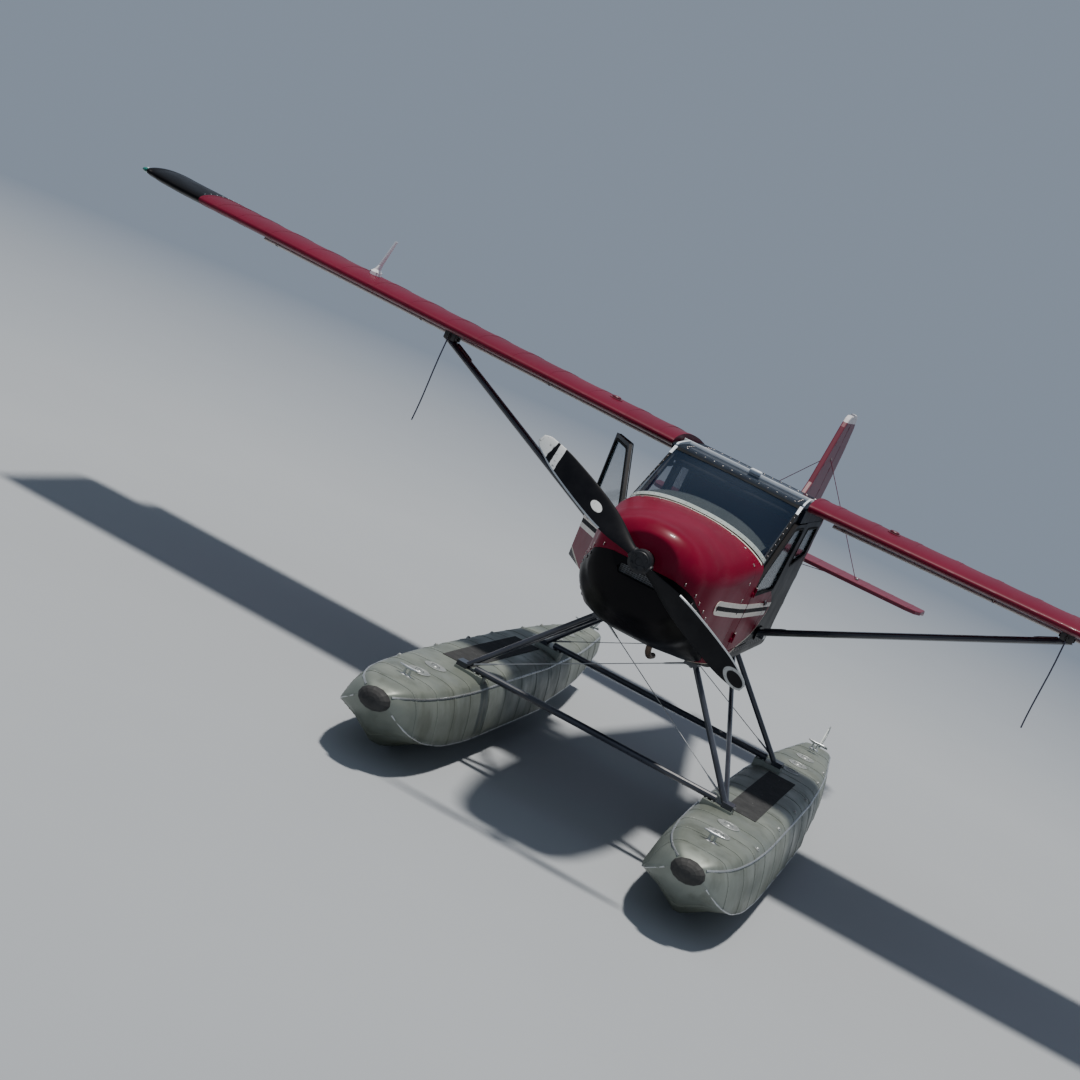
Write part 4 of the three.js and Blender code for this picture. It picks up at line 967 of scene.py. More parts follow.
def side_point(station, z, sign, out=0.0):
    """The place on the nose's skin at a height on one side, and its normal."""
    low, high = -math.pi / 2 + 0.01, math.pi / 2 - 0.01
    for _ in range(24):
        turn = (low + high) / 2
        low, high = (turn, high) if body_point(station, turn)[0].z * 1000 < z else (low, turn)
    return body_point(station, turn if sign > 0 else math.pi - turn, out)


fastener = [(11, -2), (11, 1.5), (9, 2.6), (7.5, 1.2), (0.5, 1.2)]
bm = bmesh.new()
for sign in (-1, 1):
    for station in steps_between(-1590, -790, 11):
        for above in (26, -26) if -1560 < station < -1000 else (26,):
            z = split_front[1] + split_slope * (station - split_front[0]) + above
            add_turned(bm, *side_point(station, z, sign), fastener)
for turn in steps_between(math.radians(8), math.radians(172), 13):
    add_turned(bm, *body_point(-772, turn), fastener)
put("cowl_fasteners", bm, screw_metal)
bm = bmesh.new()
for x in steps_between(-126, 126, 14):
    add_tube(bm, [at(x, -1590, 1718), at(x, -1588, 1772)], 1.6, 4)
for z in steps_between(1724, 1766, 4):
    add_tube(bm, [at(-130, -1589, z), at(130, -1589, z)], 1.6, 4)
put("inlet_screen", bm, bolt_metal)

# Stripes: a long cream loop along each side of the nose and on over the doors.
# It is laid on the paint as thin tape, and the loop's inside is black.
cream_tape = paint("cream_tape", (0.88, 0.80, 0.70), (0.80, 0.72, 0.62), 12, 0.4)
black_tape = paint("black_tape", (0.008, 0.007, 0.008), (0.014, 0.012, 0.014), 12, 0.6, specular=0.1)
stripe_front, stripe_rear = -1215, -566
stripe_tape = 32
stripe_half = 31
core_tape = 2 * stripe_half - 14


def add_tape(bm, route, width, proud=1.0):
    """A strip of tape along a route of places and normals."""
    rings = []
    for i, (place, normal) in enumerate(route):
        along = (route[min(i + 1, len(route) - 1)][0] - route[max(i - 1, 0)][0]).normalized()
        across = along.cross(normal).normalized() * width / 2000
        up = normal * proud / 1000
        rings.append([place - across - up, place + across - up, place + across + up, place - across + up])
    add_rings(bm, rings)


def stripe_z(station, row=0):
    """The height of the loop's middle, or of its upper or lower line; it rises a little toward the nose."""
    return 1643 + 0.054 * (300 - station) + row * stripe_half


def off_firewall(route):
    """The route without the places over the gap at the firewall."""
    return [place for place in route if not -757 < place[0] < -743]


bend = stripe_front + 50
loop = [(station, stripe_z(station, 1)) for station in steps_between(stripe_rear, bend, 26)]
for turn in steps_between(math.radians(90), math.radians(270), 14)[1:-1]:
    station = bend + 50 * math.cos(turn)
    loop.append((station, stripe_z(station, math.sin(turn))))
loop += [(station, stripe_z(station, -1)) for station in steps_between(bend, stripe_rear, 26)]
core = [(station, stripe_z(station)) for station in steps_between(stripe_front + 26, stripe_rear, 26)]
for side, sign in hands:
    bm = bmesh.new()
    add_tape(bm, [side_point(*place, sign, 0.7) for place in off_firewall(loop)], stripe_tape)
    put(f"nose_stripe_{side}", bm, cream_tape, 60)
    bm = bmesh.new()
    add_tape(bm, [side_point(*place, sign, 0.2) for place in off_firewall(core)], core_tape)
    put(f"nose_stripe_core_{side}", bm, black_tape, 60)

# Propeller: two broad composite blades, black, clamped in a turned hub with six bolts through its face.
# Bright metal binds the leading edges. One tip is white with a slanted band and an oval spot further in,
# and the other's white tip is painted in shade: a dim grey ring round a dark middle.
prop_station = -1735
prop_radius = 930
blade_lean = math.atan2(0.385, 0.84)
# columns: radius, width, thickness, pitch in degrees
blade_table = [
    (40, 62, 44, 60), (110, 84, 34, 46), (230, 138, 24, 34), (420, 172, 18, 25), (650, 162, 13, 19),
    (770, 144, 10, 17), (850, 114, 8, 16), (905, 84, 7, 15), (prop_radius, 46, 4, 15),
]
blade_axis = Vector((-math.cos(blade_lean), 0, math.sin(blade_lean)))
blade_chord = Vector((math.sin(blade_lean), 0, math.cos(blade_lean)))
hub_middle = at(0, prop_station, hub_z)
blade_paint, tree, shader = finish("blade_paint", (0.01, 0.01, 0.012), 0.38, specular=0.15)
centred = node(tree, "VectorMath", {0: place_of(tree), 1: hub_middle}, operation="SUBTRACT").outputs["Vector"]
along, wide = [
    node(tree, "VectorMath", {0: centred, 1: axis}, operation="DOT_PRODUCT").outputs["Value"]
    for axis in (blade_axis, blade_chord)
]
soil = times(worked("SUBTRACT", noise(tree, 14, 5), 0.5), 0.02)


def slanted(slope):
    """How far out along the blade a place is, measured to a soiled line that slants across it."""
    return worked("SUBTRACT", plus(along, soil), times(wide, slope))


def oval(middle, half_length, half_width):
    """How far out of an oval mark a place on the blade is; its edge is at 1."""
    long = worked("DIVIDE", worked("SUBTRACT", along, middle), half_length)
    short = worked("DIVIDE", wide, half_width)
    return worked("SQRT", plus(times(long, long), times(short, short)))


band_line = slanted(0.38)
# Painted shade: the lower blade's white tip is drawn as if shaded, a dim grey ring round a dark middle.
shaded_tip_ring = plus(oval(-0.862, 0.078, 0.046), times(soil, 3.0))
marks = graded(slanted(0.15), 0.833, 0.836)
for mark in (
    times(graded(band_line, 0.756, 0.759), graded(band_line, 0.806, 0.803)),
    graded(oval(0.41, 0.042, 0.025), 1.03, 0.97),
    times(times(graded(shaded_tip_ring, 0.74, 0.80), graded(shaded_tip_ring, 1.14, 1.08)), 0.55),
):
    marks = worked("MAXIMUM", marks, mark)
black = mixed(cloud(tree, 9), (0.004, 0.004, 0.006), (0.009, 0.009, 0.011))
scuffed = times(marks, cloud(tree, 40, 0.25, 0.42, detail=5))
feed(shader, "Base Color", mixed(scuffed, black, (0.85, 0.85, 0.82)))
bumped(shader, noise(tree, 60), 0.12, 0.0008)


def add_blades(bm, radii, section):
    """Both blades, or covers on them, from a section's places along the chord and off it."""
    for half_turn in (0, math.pi):
        lie = Matrix((blade_axis, Vector((0, 1, 0)), blade_chord)).transposed()
        spin = Matrix.Rotation(half_turn, 3, "Y") @ lie
        rings = []
        for radius in radii:
            _, width, thickness, pitch = fair_row(blade_table, radius)
            aft, up = math.sin(math.radians(pitch)), math.cos(math.radians(pitch))
            rings.append([
                hub_middle + spin @ Vector((radius, p * aft - q * up, p * up + q * aft)) / 1000
                for p, q in section(width, thickness)
            ])
        add_rings(bm, rings)


def blade_section(width, thickness):
    ring = []
    for turn in (2 * math.pi * k / 28 for k in range(28)):
        fullness = (1 + 0.35 * math.cos(turn)) * (1 if math.sin(turn) > 0 else 0.6)
        ring.append((math.cos(turn) * width / 2, math.sin(turn) * thickness / 2 * fullness))
    return ring


def guard_section(width, thickness):
    corners = ((-1.0, 0.0), (-0.99, 0.4), (-0.88, 0.5), (-0.88, 0.1), (-0.88, -0.40), (-0.99, -0.3))
    return [(share * width / 2 - 0.8, thick * (thickness / 2 + 1.5)) for share, thick in corners]


bm = bmesh.new()
add_blades(bm, steps_between(40, 880, 24) + [893, 905, 915, 922, 927, prop_radius], blade_section)
put("propeller_blades", bm, blade_paint, 50, "propeller", "propeller")
bm = bmesh.new()
add_blades(bm, steps_between(300, 900, 20) + [912, 921, 927], guard_section)
put("blade_edge_guards", bm, bright_rail, 50, body="propeller")
hub_metal = paint("hub_metal", (0.012, 0.012, 0.014), (0.02, 0.02, 0.023), 16, 0.45, metallic=0.3)
bm = bmesh.new()
hub_profile = [(0.5, -33), (66, -33), (72, -28), (72, -3), (70, 0), (72, 3), (72, 28), (66, 33), (60, 34),
               (60, 40), (56, 44), (24, 44), (22, 40), (0.5, 40)]
add_turned(bm, hub_middle, (0, -1, 0), hub_profile, 48)
for turn in (math.radians(60 * k + 30) for k in range(6)):
    place = hub_middle + Vector((math.cos(turn) * 0.044, -0.044, math.sin(turn) * 0.044))
    add_turned(bm, place, (0, -1, 0), [(11, -1), (11, 2), (8, 2), (8, 8), (6, 9), (0.5, 9)], 6)
for reach in (-1, 1):
    clamp = [(36, -6), (38, 0), (38, 16), (34, 20), (30, 20)]
    add_turned(bm, hub_middle + blade_axis * 0.058 * reach, blade_axis * reach, clamp, 28)
put("propeller_hub", bm, hub_metal, body="propeller")

# Doors: light sheet doors hung at the front, each with a sewn-in gasket round one large pane.
# A lever latch, a lining with a pocket and an armrest tube are fixed inside; the right door stands ajar.
door_outline = [(-545, 1400), (-545, 1895), (-62, 2276), (332, 2276), (150, 1400)]
door_window = [(-500, 1800), (-500, 1885), (-48, 2238), (285, 2238), (195, 1800)]
ajar = math.radians(29)


def clear_plastic(name, colour, roughness, alpha, haze, coat=0.0, specular=0.5):
    made, tree, shader = finish(name, colour, roughness, 0, coat, specular)
    shader.inputs["Alpha"].default_value = alpha
    feed(shader, "Roughness", cloud(tree, *haze))
    return made


door_haze = (12, 0.3, 0.8, 0.03, 0.12, 5)
clear_sheet = clear_plastic("clear_sheet", (0.10, 0.16, 0.19), 0.05, 0.34, door_haze, 0.8)
gasket = paint("gasket", (0.008, 0.009, 0.010), (0.016, 0.017, 0.018), 15, 0.7, grain=0.5, specular=0.08)


def put_on_door(name, side, bm, material, angle):
    """Makes a door's piece; on the right it is drawn on the closed door and turned to where that stands."""
    if side == "right":
        pivot = at(-hinge_x, hinge_station, 0)
        spin = Matrix.Translation(pivot) @ Matrix.Rotation(ajar, 4, "Z") @ Matrix.Translation(-pivot)
        bmesh.ops.transform(bm, matrix=spin, verts=bm.verts)
    put(f"{name}_{side}", bm, material, angle, body=f"door_{side}")


def add_outline_frame(bm, outline, sign, x0, x1, inner, outer):
    """A frame of one section along a side outline of station and height."""
    area = sum(a[0] * b[1] - b[0] * a[1] for a, b in zip(outline, outline[1:] + outline[:1]))
    facing = 1 if area > 0 else -1
    corners = ((x0, -inner), (x1, -inner), (x1, outer), (x0, outer))
    rings = [[at(sign * x, *place) for place in grown(outline, facing * out)] for x, out in corners]
    add_rings(bm, rings, around=True)


def rounded(outline, radius, steps=5):
    """The outline with its corners rounded."""
    made = []
    for i, corner in enumerate(outline):
        here = Vector(corner)
        ends = []
        for other in (outline[i - 1], outline[(i + 1) % len(outline)]):
            away = Vector(other) - here
            ends.append(here + away.normalized() * min(radius, away.length / 2))
        for t in (k / steps for k in range(steps + 1)):
            made.append(tuple((1 - t) ** 2 * ends[0] + 2 * t * (1 - t) * here + t * t * ends[1]))
    return made


def add_side_tape(bm, sign, row, front, rear, steps):
    """Tape on the cabin's flat side along a line of the loop, or along its black middle where row is 0."""
    x, width = (500.5, stripe_tape) if row else (500.2, core_tape)
    stations = steps_between(front, rear, steps)
    add_tape(bm, [(at(sign * x, s, stripe_z(s, row)), Vector((sign, 0, 0))) for s in stations], width)


door_paint = {"left": side_paint, "right": two_tone(body_paint, "door_paint", 0.1, 0.07, ajar)}
armrest = ((474, -250, 1762), (452, -240, 1764), (446, -150, 1766), (446, -30, 1766), (452, 55, 1764),
           (474, 65, 1762))
for side, sign in hands:
    outward = (sign, 0, 0)
    dress(door_paint[side], 30, f"door_{side}")
    dress(clear_sheet, 30, f"door_glass_{side}")
    bm = bmesh.new()
    add_outline_frame(bm, rounded(door_window, 30), sign, 487, 502.5, 4, 13)
    add_outline_frame(bm, rounded(grown(door_outline, -12), 20), sign, 475, 471, 10, 0)
    put_on_door("door_gasket", side, bm, gasket, 40)
    bm = bmesh.new()
    add_block(bm, sign * 472, -165, 1600, (5, 560, 350), 8)
    add_block(bm, sign * 466, -300, 1520, (10, 240, 150), 6)
    add_tube(bm, curved([at(sign * x, s, z) for x, s, z in armrest]), 8)
    put_on_door("door_lining", side, bm, lining_board, 40)
    bm = bmesh.new()
    boss = [(24, -1), (24, 2), (20, 4), (11, 5), (9, 16), (7, 18), (0.5, 18)]
    add_turned(bm, at(sign * 499.5, 120, 1700), outward, boss, 24)
    lever = [at(sign * 514, s, z) for s, z in ((120, 1700), (98, 1700), (70, 1698), (44, 1694), (32, 1692))]
    add_tube(bm, lever, [8, 8, 7, 6, 4], 10)
    for low, high in ((1502, 1532), (1822, 1852)):
        for z in (low + 8, high - 8):
            for station in (-505, -480):
                add_rivet(bm, at(sign * 500.4, station, z), outward)
        add_block(bm, sign * 501, -500, (low + high) / 2, (3, 70, high - low), 1)
        pin_head = [(5, -1), (8, 0), (8, 3), (5, 5), (0.5, 5)]
        add_turned(bm, at(sign * hinge_x, hinge_station, high), (0, 0, 1), pin_head, 12)
    for station in steps_between(-520, 120, 9):
        add_rivet(bm, at(sign * 500.3, station, 1412), outward, 4)
    put_on_door("door_latch", side, bm, screw_metal, 40)
    bm = bmesh.new()
    for row, rear in ((1, 204), (-1, 190)):
        add_side_tape(bm, sign, row, -538, rear, 16)
    put_on_door("door_stripe", side, bm, cream_tape, 60)
    bm = bmesh.new()
    add_side_tape(bm, sign, 0, -538, 195, 16)
    put_on_door("door_stripe_core", side, bm, black_tape, 60)

# Quarter windows: fixed panes behind the doors, each in a rubber gasket pressed into the side panel.
# The cream loop ends on the panel below them, just behind the door.
quarter_window = [(430, 1960), (900, 2030), (900, 2230), (485, 2230)]
for side, sign in hands:
    dress(clear_sheet, 30, f"quarter_window_{side}")
    bm = bmesh.new()
    add_outline_frame(bm, rounded(quarter_window, 26), sign, 486, 503, 4, 12)
    put(f"quarter_gasket_{side}", bm, gasket, 40)
    bm = bmesh.new()
    for row, front, rear in ((1, 222, 425), (-1, 209, 330)):
        add_side_tape(bm, sign, row, front, rear, 8)
    put(f"panel_stripe_{side}", bm, cream_tape, 60)
    bm = bmesh.new()
    add_side_tape(bm, sign, 0, 218, 370, 8)
    put(f"panel_stripe_core_{side}", bm, black_tape, 60)

# Windscreen: one sheet of clear plastic bent round the front of the cabin, tinted a little by age.
# Black strips hold its top and sides, with pale fittings at the top corners, and a strip of the hood's pale
# cloth holds its foot.
# A cream line of tape runs round its foot on the boot cowl.
screen_spread = math.radians(80)
screen_haze = (9, 0.35, 0.8, 0.02, 0.16, 6)
screen_sheet = clear_plastic("screen_sheet", (0.006, 0.016, 0.036), 0.04, 0.42, screen_haze)


def screen_place(t, v, out):
    """A place on the sheet, from -1 to 1 across and 0 to 1 up, and its normal."""
    turn = t * screen_spread
    sweep = (1 - math.cos(turn)) / (1 - math.cos(screen_spread))
    x = 484 * math.sin(turn)
    inboard = max(0, (abs(x) - 20) / 480)
    foot = at(x, -738 + 174 * sweep, 1958 + 190 * math.sqrt(1 - inboard * inboard))
    top = at(470 * t, -10, 2386)
    normal = Vector((0.55 * math.sin(turn), -0.62, 0.72)).normalized()
    bulge = 26 * math.sin(math.pi * v) * (1 - t * t)
    return foot.lerp(top, v) + normal * (bulge + out) / 1000, normal


bm = bmesh.new()
rings = []
for t in (i / 30 - 1 for i in range(61)):
    outer = [screen_place(t, r / 16, 5)[0] for r in range(17)]
    inner = [screen_place(t, r / 16, 0)[0] for r in range(16, -1, -1)]
    rings.append(outer + inner)
add_rings(bm, rings)
put("windscreen_sheet", bm, screen_sheet, 40, "windscreen")


def add_screen_strip(bm, v0, v1, low, high):
    """A strip lying across the windscreen between two heights on it."""
    corners = ((v0, low), (v1, low), (v1, high), (v0, high))
    add_rings(bm, [[screen_place(t, v, out)[0] for v, out in corners] for t in steps_between(-1, 1, 60)])


bm = bmesh.new()
add_screen_strip(bm, -0.015, 0.045, 3, 8)
put("windscreen_foot_strip", bm, glare_cloth, 50)
bm = bmesh.new()
line = []
for t in steps_between(-1, 1, 72):
    foot = screen_place(t, 0, 0)[0] * 1000
    station = foot.y - lead_y * 1000 - 34
    if not -757 < station < -743:
        line.append(body_point(station, math.atan2(foot.z - 1702, foot.x), 0.8))
add_tape(bm, line, 26)
put("screen_pinstripe", bm, cream_tape, 60)
retainer = paint("retainer_strip", (0.72, 0.77, 0.82), (0.60, 0.65, 0.70), 9, 0.4)
for name, first, last, high, material in (
    ("windscreen_retainers", 0.02, 0.99, 8, gasket), ("windscreen_corner_fittings", 0.86, 1.0, 11, retainer),
):
    bm = bmesh.new()
    if material == gasket:
        add_screen_strip(bm, 0.955, 1.004, 4, 7.5)
    corners = ((0.955, 4), (1.0, 4), (1.0, high), (0.955, high))
    for edge in (-1, 1):
        add_rings(bm, [
            [screen_place(edge * t, v, out)[0] for t, out in corners] for v in steps_between(first, last, 16)
        ])
    put(name, bm, material, 50)
bm = bmesh.new()
for t in steps_between(-0.96, 0.96, 26):
    add_rivet(bm, *screen_place(t, 0.015, 8))
for edge in (-1, 1):
    for v in steps_between(0.1, 0.9, 8):
        add_rivet(bm, *screen_place(edge * 0.978, v, 8))
put("windscreen_screws", bm, screw_metal, 50)

# Wings: fabric shrunk over ribs on a round leading-edge tube, maroon, with a tape sewn along every rib.
# Under each one are the strut lug, the rope's eye, inspection rings and the flaperon's arms.
lead_z = 2400
chord = 1260
incidence = math.radians(2.5)
wing_thickness = 0.088
wing_camber = 0.02
dihedral = math.tan(math.radians(1))
wing_root = 503
tip_start = 4400
fuel_x = 1050
arm_xs = (640, 1790, 2930, 4260)
arm_outline = [(960, 2352), (1150, 2352), (1258, 2264), (1258, 2246), (1248, 2238), (1232, 2238),
               (1120, 2296)]
rib_xs = [503, 640, 900, 1200, 1500, 1790, 2070, 2330, 2630, 2930, 3200, 3500, 3800, 4080, 4260, 4400]
bays = list(zip(rib_xs, rib_xs[1:]))


def section_point(u, upper, length=chord, thickness=wing_thickness, camber=wing_camber, tilt=incidence):
    """Station and height above the leading edge at a share of the chord, on the top or the underside."""
    roots = 0.2969 * math.sqrt(u) - 0.126 * u - 0.3516 * u ** 2 + 0.2843 * u ** 3 - 0.1036 * u ** 4
    half = 5 * thickness * roots * (1 if upper else -1)
    v = 4 * camber * u * (1 - u) + half
    along, up = math.cos(tilt), math.sin(tilt)
    return length * (u * along + v * up), length * (v * along - u * up)


def section_outline(steps=40, sag=0.0, **shape):
    """The wing's outline, from the leading edge over the top and back below; sag pulls in the free fabric."""
    outline = []
    shares = [0.5 * (1 - math.cos(math.pi * i / steps)) for i in range(steps + 1)]
    for upper, row in ((True, shares), (False, shares[-2:0:-1])):
        for u in row:
            station, z = section_point(u, upper, **shape)
            free = max(0, min(1, (u - 0.13) / 0.2)) * max(0, min(1, (0.97 - u) / 0.15))
            outline.append((station, z - (sag if upper else -sag * 0.7) * free))
    return outline


def wing_at(sign, x, station, z):
    """A place by its height above the leading edge, which rises toward the tip."""
    return at(sign * x, station, lead_z + z + x * dihedral)


wing_cloth, tree, shader = finish("wing_cloth", maroon, 0.42, 0, 0.05, 0.12)
fade = mixed(cloud(tree, 0.9), (0.150, 0.0022, 0.022), (0.115, 0.0016, 0.017))
grime = cloud(tree, 5, 0.55, 0.8, 0.0, 0.3, 6, (1, 0.2, 1))
feed(shader, "Base Color", mixed(grime, fade, (0.13, 0.045, 0.05)))
bumped(shader, times(weave(tree, 260.0, 0.6, "X"), weave(tree, 260.0, 0.6, "Y")), 0.12, 0.0005)
ring_metal = paint("ring_metal", (0.14, 0.012, 0.03), (0.10, 0.01, 0.022), 12, 0.4)
lug_steel = paint("lug_steel", (0.022, 0.023, 0.028), (0.05, 0.045, 0.042), 10, 0.45, metallic=0.3)
arm_paint = paint("arm_paint", (0.13, 0.008, 0.022), (0.10, 0.006, 0.018), 7, 0.4, coat=0.3)
for side, sign in hands:
    bm = bmesh.new()
    rings = []
    for inner, outer in bays:
        for share in (k / 6 for k in range(6)):
            x = inner + (outer - inner) * share
            sag = 3.2 * math.sin(math.pi * share) ** 0.8
            rings.append([wing_at(sign, x, *place) for place in section_outline(sag=sag)])
    rings.append([wing_at(sign, tip_start, *place) for place in section_outline()])
    add_rings(bm, rings)
    put(f"wing_cloth_{side}", bm, wing_cloth, 30, f"wing_{side}")
    bm = bmesh.new()
    lifted, sunk = grown(section_outline(), -0.9), grown(section_outline(), 1.5)
    for x in rib_xs:
        lean = 22 if x < tip_start else 16
        low, high = max(x - lean, wing_root), min(x + lean, tip_start)
        for first, last in ((1, 39), (42, 79)):
            add_rings(bm, [
                [wing_at(sign, low, *under), wing_at(sign, high, *under),
                 wing_at(sign, high, *over), wing_at(sign, low, *over)]
                for over, under in zip(lifted[first:last], sunk[first:last])
            ])
    put(f"wing_tapes_{side}", bm, wing_cloth, 40)
    bm = bmesh.new()
    for inner, outer in bays[::2]:
        s, z = section_point(0.55, False)
        add_turned(bm, wing_at(sign, (inner + outer) / 2, s, z + 2), (0, 0.05, -1),
                   [(42, -2), (42, 1.2), (36, 3), (34, 1.5), (0.5, 1.5)], 28)
    s, z = section_point(0.22, True)
    add_turned(bm, wing_at(sign, fuel_x, s, z - 2), (0, -0.03, 1),
               [(46, 0), (46, 4), (40, 6), (34, 6), (32, 16), (28, 19), (0.5, 19)], 30)
    put(f"wing_rings_{side}", bm, ring_metal)
    bm = bmesh.new()
    for x in arm_xs:
        rings = []
        for offset, shrink in ((-4, 2.5), (-2.5, 0), (2.5, 0), (4, 2.5)):
            outline = grown(rounded(arm_outline, 9, 3), shrink)
            rings.append([at(sign * (x + offset), s, z + (x + offset) * dihedral) for s, z in outline])
        add_rings(bm, rings)
        for face in (-1, 1):
            add_bolt(bm, at(sign * x + face * 4, 1240, 2255 + x * dihedral), (face, 0, 0), -2, 9, 4, 6, 6)
    put(f"flaperon_arms_{side}", bm, arm_paint)
    bm = bmesh.new()
    lug_x = sign * eye_x
    add_block(bm, lug_x, 315, 2378, (90, 130, 85), 7)
    add_bolt(bm, at(lug_x, 250, 2360), (0, -1, 0), -2, 16, 6, 12, 9)
    for face in (-1, 1):
        add_bolt(bm, at(lug_x + face * 45, 325, 2358), (face, 0, 0), -2, 15, 7, 11, 10)
    eye = ((-12, 2412), (-12, 2390), (-12, 2364), (-8.5, 2352), (0, 2346), (8.5, 2352), (12, 2364),
           (12, 2390), (12, 2412))
    add_tube(bm, [at(lug_x, eye_station + s, z) for s, z in eye], 4, 12)
    put(f"strut_lug_{side}", bm, lug_steel)

# Wing tips: glass-fibre caps, black, riveted over the last rib, with a light at the front corner.
# The lights are coloured plastic domes on pale bases, green on the right and red on the left.
# columns: x, start station, length, share of the wing's thickness, lift
tip_table = [(4400.3, 0, 1260, 1, 0), (4700, 2, 1248, 0.98, 3), (4830, 10, 1220, 0.9, 8),
             (4886, 26, 1175, 0.68, 14), (4900, 60, 1110, 0.26, 18)]
tip_xs = steps_between(4400.3, 4700, 5)[:-1] + steps_between(4700, 4830, 6)[:-1]
tip_xs += steps_between(4830, 4886, 6) + [4891, 4895, 4898, 4900]
rivet_x = 4418
lens_colours = {
    "left": ((0.42, 0.01, 0.012), (0.25, 0.006, 0.01)), "right": ((0.0, 0.24, 0.17), (0.0, 0.13, 0.12)),
}
for side, sign in hands:
    bm = bmesh.new()
    rings = []
    for x in tip_xs:
        _, start, length, share, lift = fair_row(tip_table, x)
        outline = section_outline(length=length, thickness=wing_thickness * share)
        rings.append([wing_at(sign, x, start + s, lift + z) for s, z in outline])
    add_rings(bm, rings)
    put(f"tip_cap_{side}", bm, chin_paint, 35, f"wingtip_{side}")
    bm = bmesh.new()
    for u in (k / 14 for k in range(1, 14)):
        for upper in (True, False):
            add_rivet(bm, wing_at(sign, rivet_x, *section_point(u, upper)), (0, 0, 1 if upper else -1), 4)
    add_bolt(bm, at(sign * 4903, 72, 2495.5), (sign, 0, 0), -8, 22, 3, 16, 6, 20)
    put(f"tip_rivets_{side}", bm, retainer)
    lens = paint(f"lens_{side}", *lens_colours[side], 40, 0.12, coat=1.0, grain=0.0)
    lens.node_tree.nodes["Principled BSDF"].inputs["Transmission Weight"].default_value = 0.25
    dress(lens, 60, f"nav_light_{side}")

# Roof and skylight: a folded sheet between the wings with one clear panel, screwed down all round.
# A pale bar with edge strips and a small housing crosses its front, and rubber seals the wing roots.
roof_paint = paint("roof_paint", (0.006, 0.010, 0.018), (0.010, 0.015, 0.024), 6, 0.45, specular=0.08)
sky_haze = (10, 0.35, 0.8, 0.04, 0.2, 6)
skylight_sheet = clear_plastic("skylight_sheet", (0.006, 0.012, 0.024), 0.06, 0.8, sky_haze, specular=0.08)
dress(roof_paint, 25, "roof")
dress(skylight_sheet, 40, "skylight")
# columns: station, height
roof_line = [(0, 2392), (22, 2401), (110, 2411), (300, 2417), (550, 2416), (800, 2411), (1000, 2405)]


def roof_height(station):
    for (s0, z0), (s1, z1) in zip(roof_line, roof_line[1:]):
        if s0 <= station <= s1:
            return z0 + (z1 - z0) * (station - s0) / (s1 - s0)


bm = bmesh.new()
screws = [(x, station) for station in steps_between(75, 865, 14) for x in (-414, 414)]
screws += [(x, station) for x in steps_between(-400, 400, 12) for station in (42, 898)]
for x, station in screws:
    add_rivet(bm, at(x, station, roof_height(station)), (0, 0, 1))
put("roof_screws", bm, screw_metal)
bm = bmesh.new()
bar_section = [(-7, 2412), (7, 2412), (7, 2436), (3, 2442), (-3, 2442), (-7, 2436)]
add_rings(bm, [[at(x, 290 + s, z) for s, z in bar_section] for x in steps_between(-498, 498, 12)])
for sign in (-1, 1):
    rings = []
    for share in steps_between(0, 1, 12):
        x = 470 - 14 * share
        station = 2 + 282 * share
        low = roof_height(station) - 6
        top = 2404 + 36 * math.sqrt(share)
        corners = ((-7, low), (7, low), (7, top), (-7, top))
        rings.append([at(sign * (x + out), station, z) for out, z in corners])
    add_rings(bm, rings)
add_block(bm, 40, 300, 2440, (84, 62, 34), 9)
put("roof_crossbar", bm, retainer, 50)
bm = bmesh.new()
for x in (-500, 500):
    stations = steps_between(6, 994, 24)
    add_tube(bm, [at(x, station, min(roof_height(station), 2408) - 4) for station in stations], 6)
put("roof_seals", bm, gasket, 50)

# Antenna: a moulded white blade on a broad foot, screwed to the right wing over a rubber pad.
# Its foot has four screws.
mast_paint = paint("mast_paint", (0.92, 0.93, 0.93), (0.86, 0.87, 0.87), 12, 0.35)
dress(mast_paint, 50, "antenna")
bm = bmesh.new()
for x in (-26, 26):
    for s in (-40, 40):
        add_bolt(bm, at(-3062 + x, 330 + s, 2535), (0, 0, 1), -4, 6, 2, 4, 4, 10)
put("antenna_screws", bm, bolt_metal)

# Flaperons: thin tapered surfaces hung below the trailing edge on the arms under the wing, coloured pale as a
# painted highlight.
# A tape lies over every rib, apart from those beside the arms.
# Painted highlight: the flaperons are coloured pale to stand for sunlight falling on them.
flap_paint = paint("flap_paint", (0.50, 0.45, 0.42), (0.42, 0.37, 0.35), 4, 0.45, coat=0.2)
flap_shape = {"length": 300, "thickness": 0.12, "camber": 0.01, "tilt": math.radians(1)}
flap_top = [section_point(0.06 + 0.86 * i / 23, True, **flap_shape) for i in range(24)]
flap_ribs = [x for x in steps_between(760, 4300, 13) if min(abs(x - arm_x) for arm_x in arm_xs) > 40]
for side, sign in hands:
    dress(flap_paint, 30, f"flaperon_{side}")
    bm = bmesh.new()
    for x in flap_ribs:
        line = [(at(sign * x, 1175 + s, 2255 + z + x * dihedral), Vector((0, 0, 1))) for s, z in flap_top]
        add_tape(bm, line, 14, 0.8)
    put(f"flaperon_ribs_{side}", bm, flap_paint, 50, body=f"flaperon_{side}")

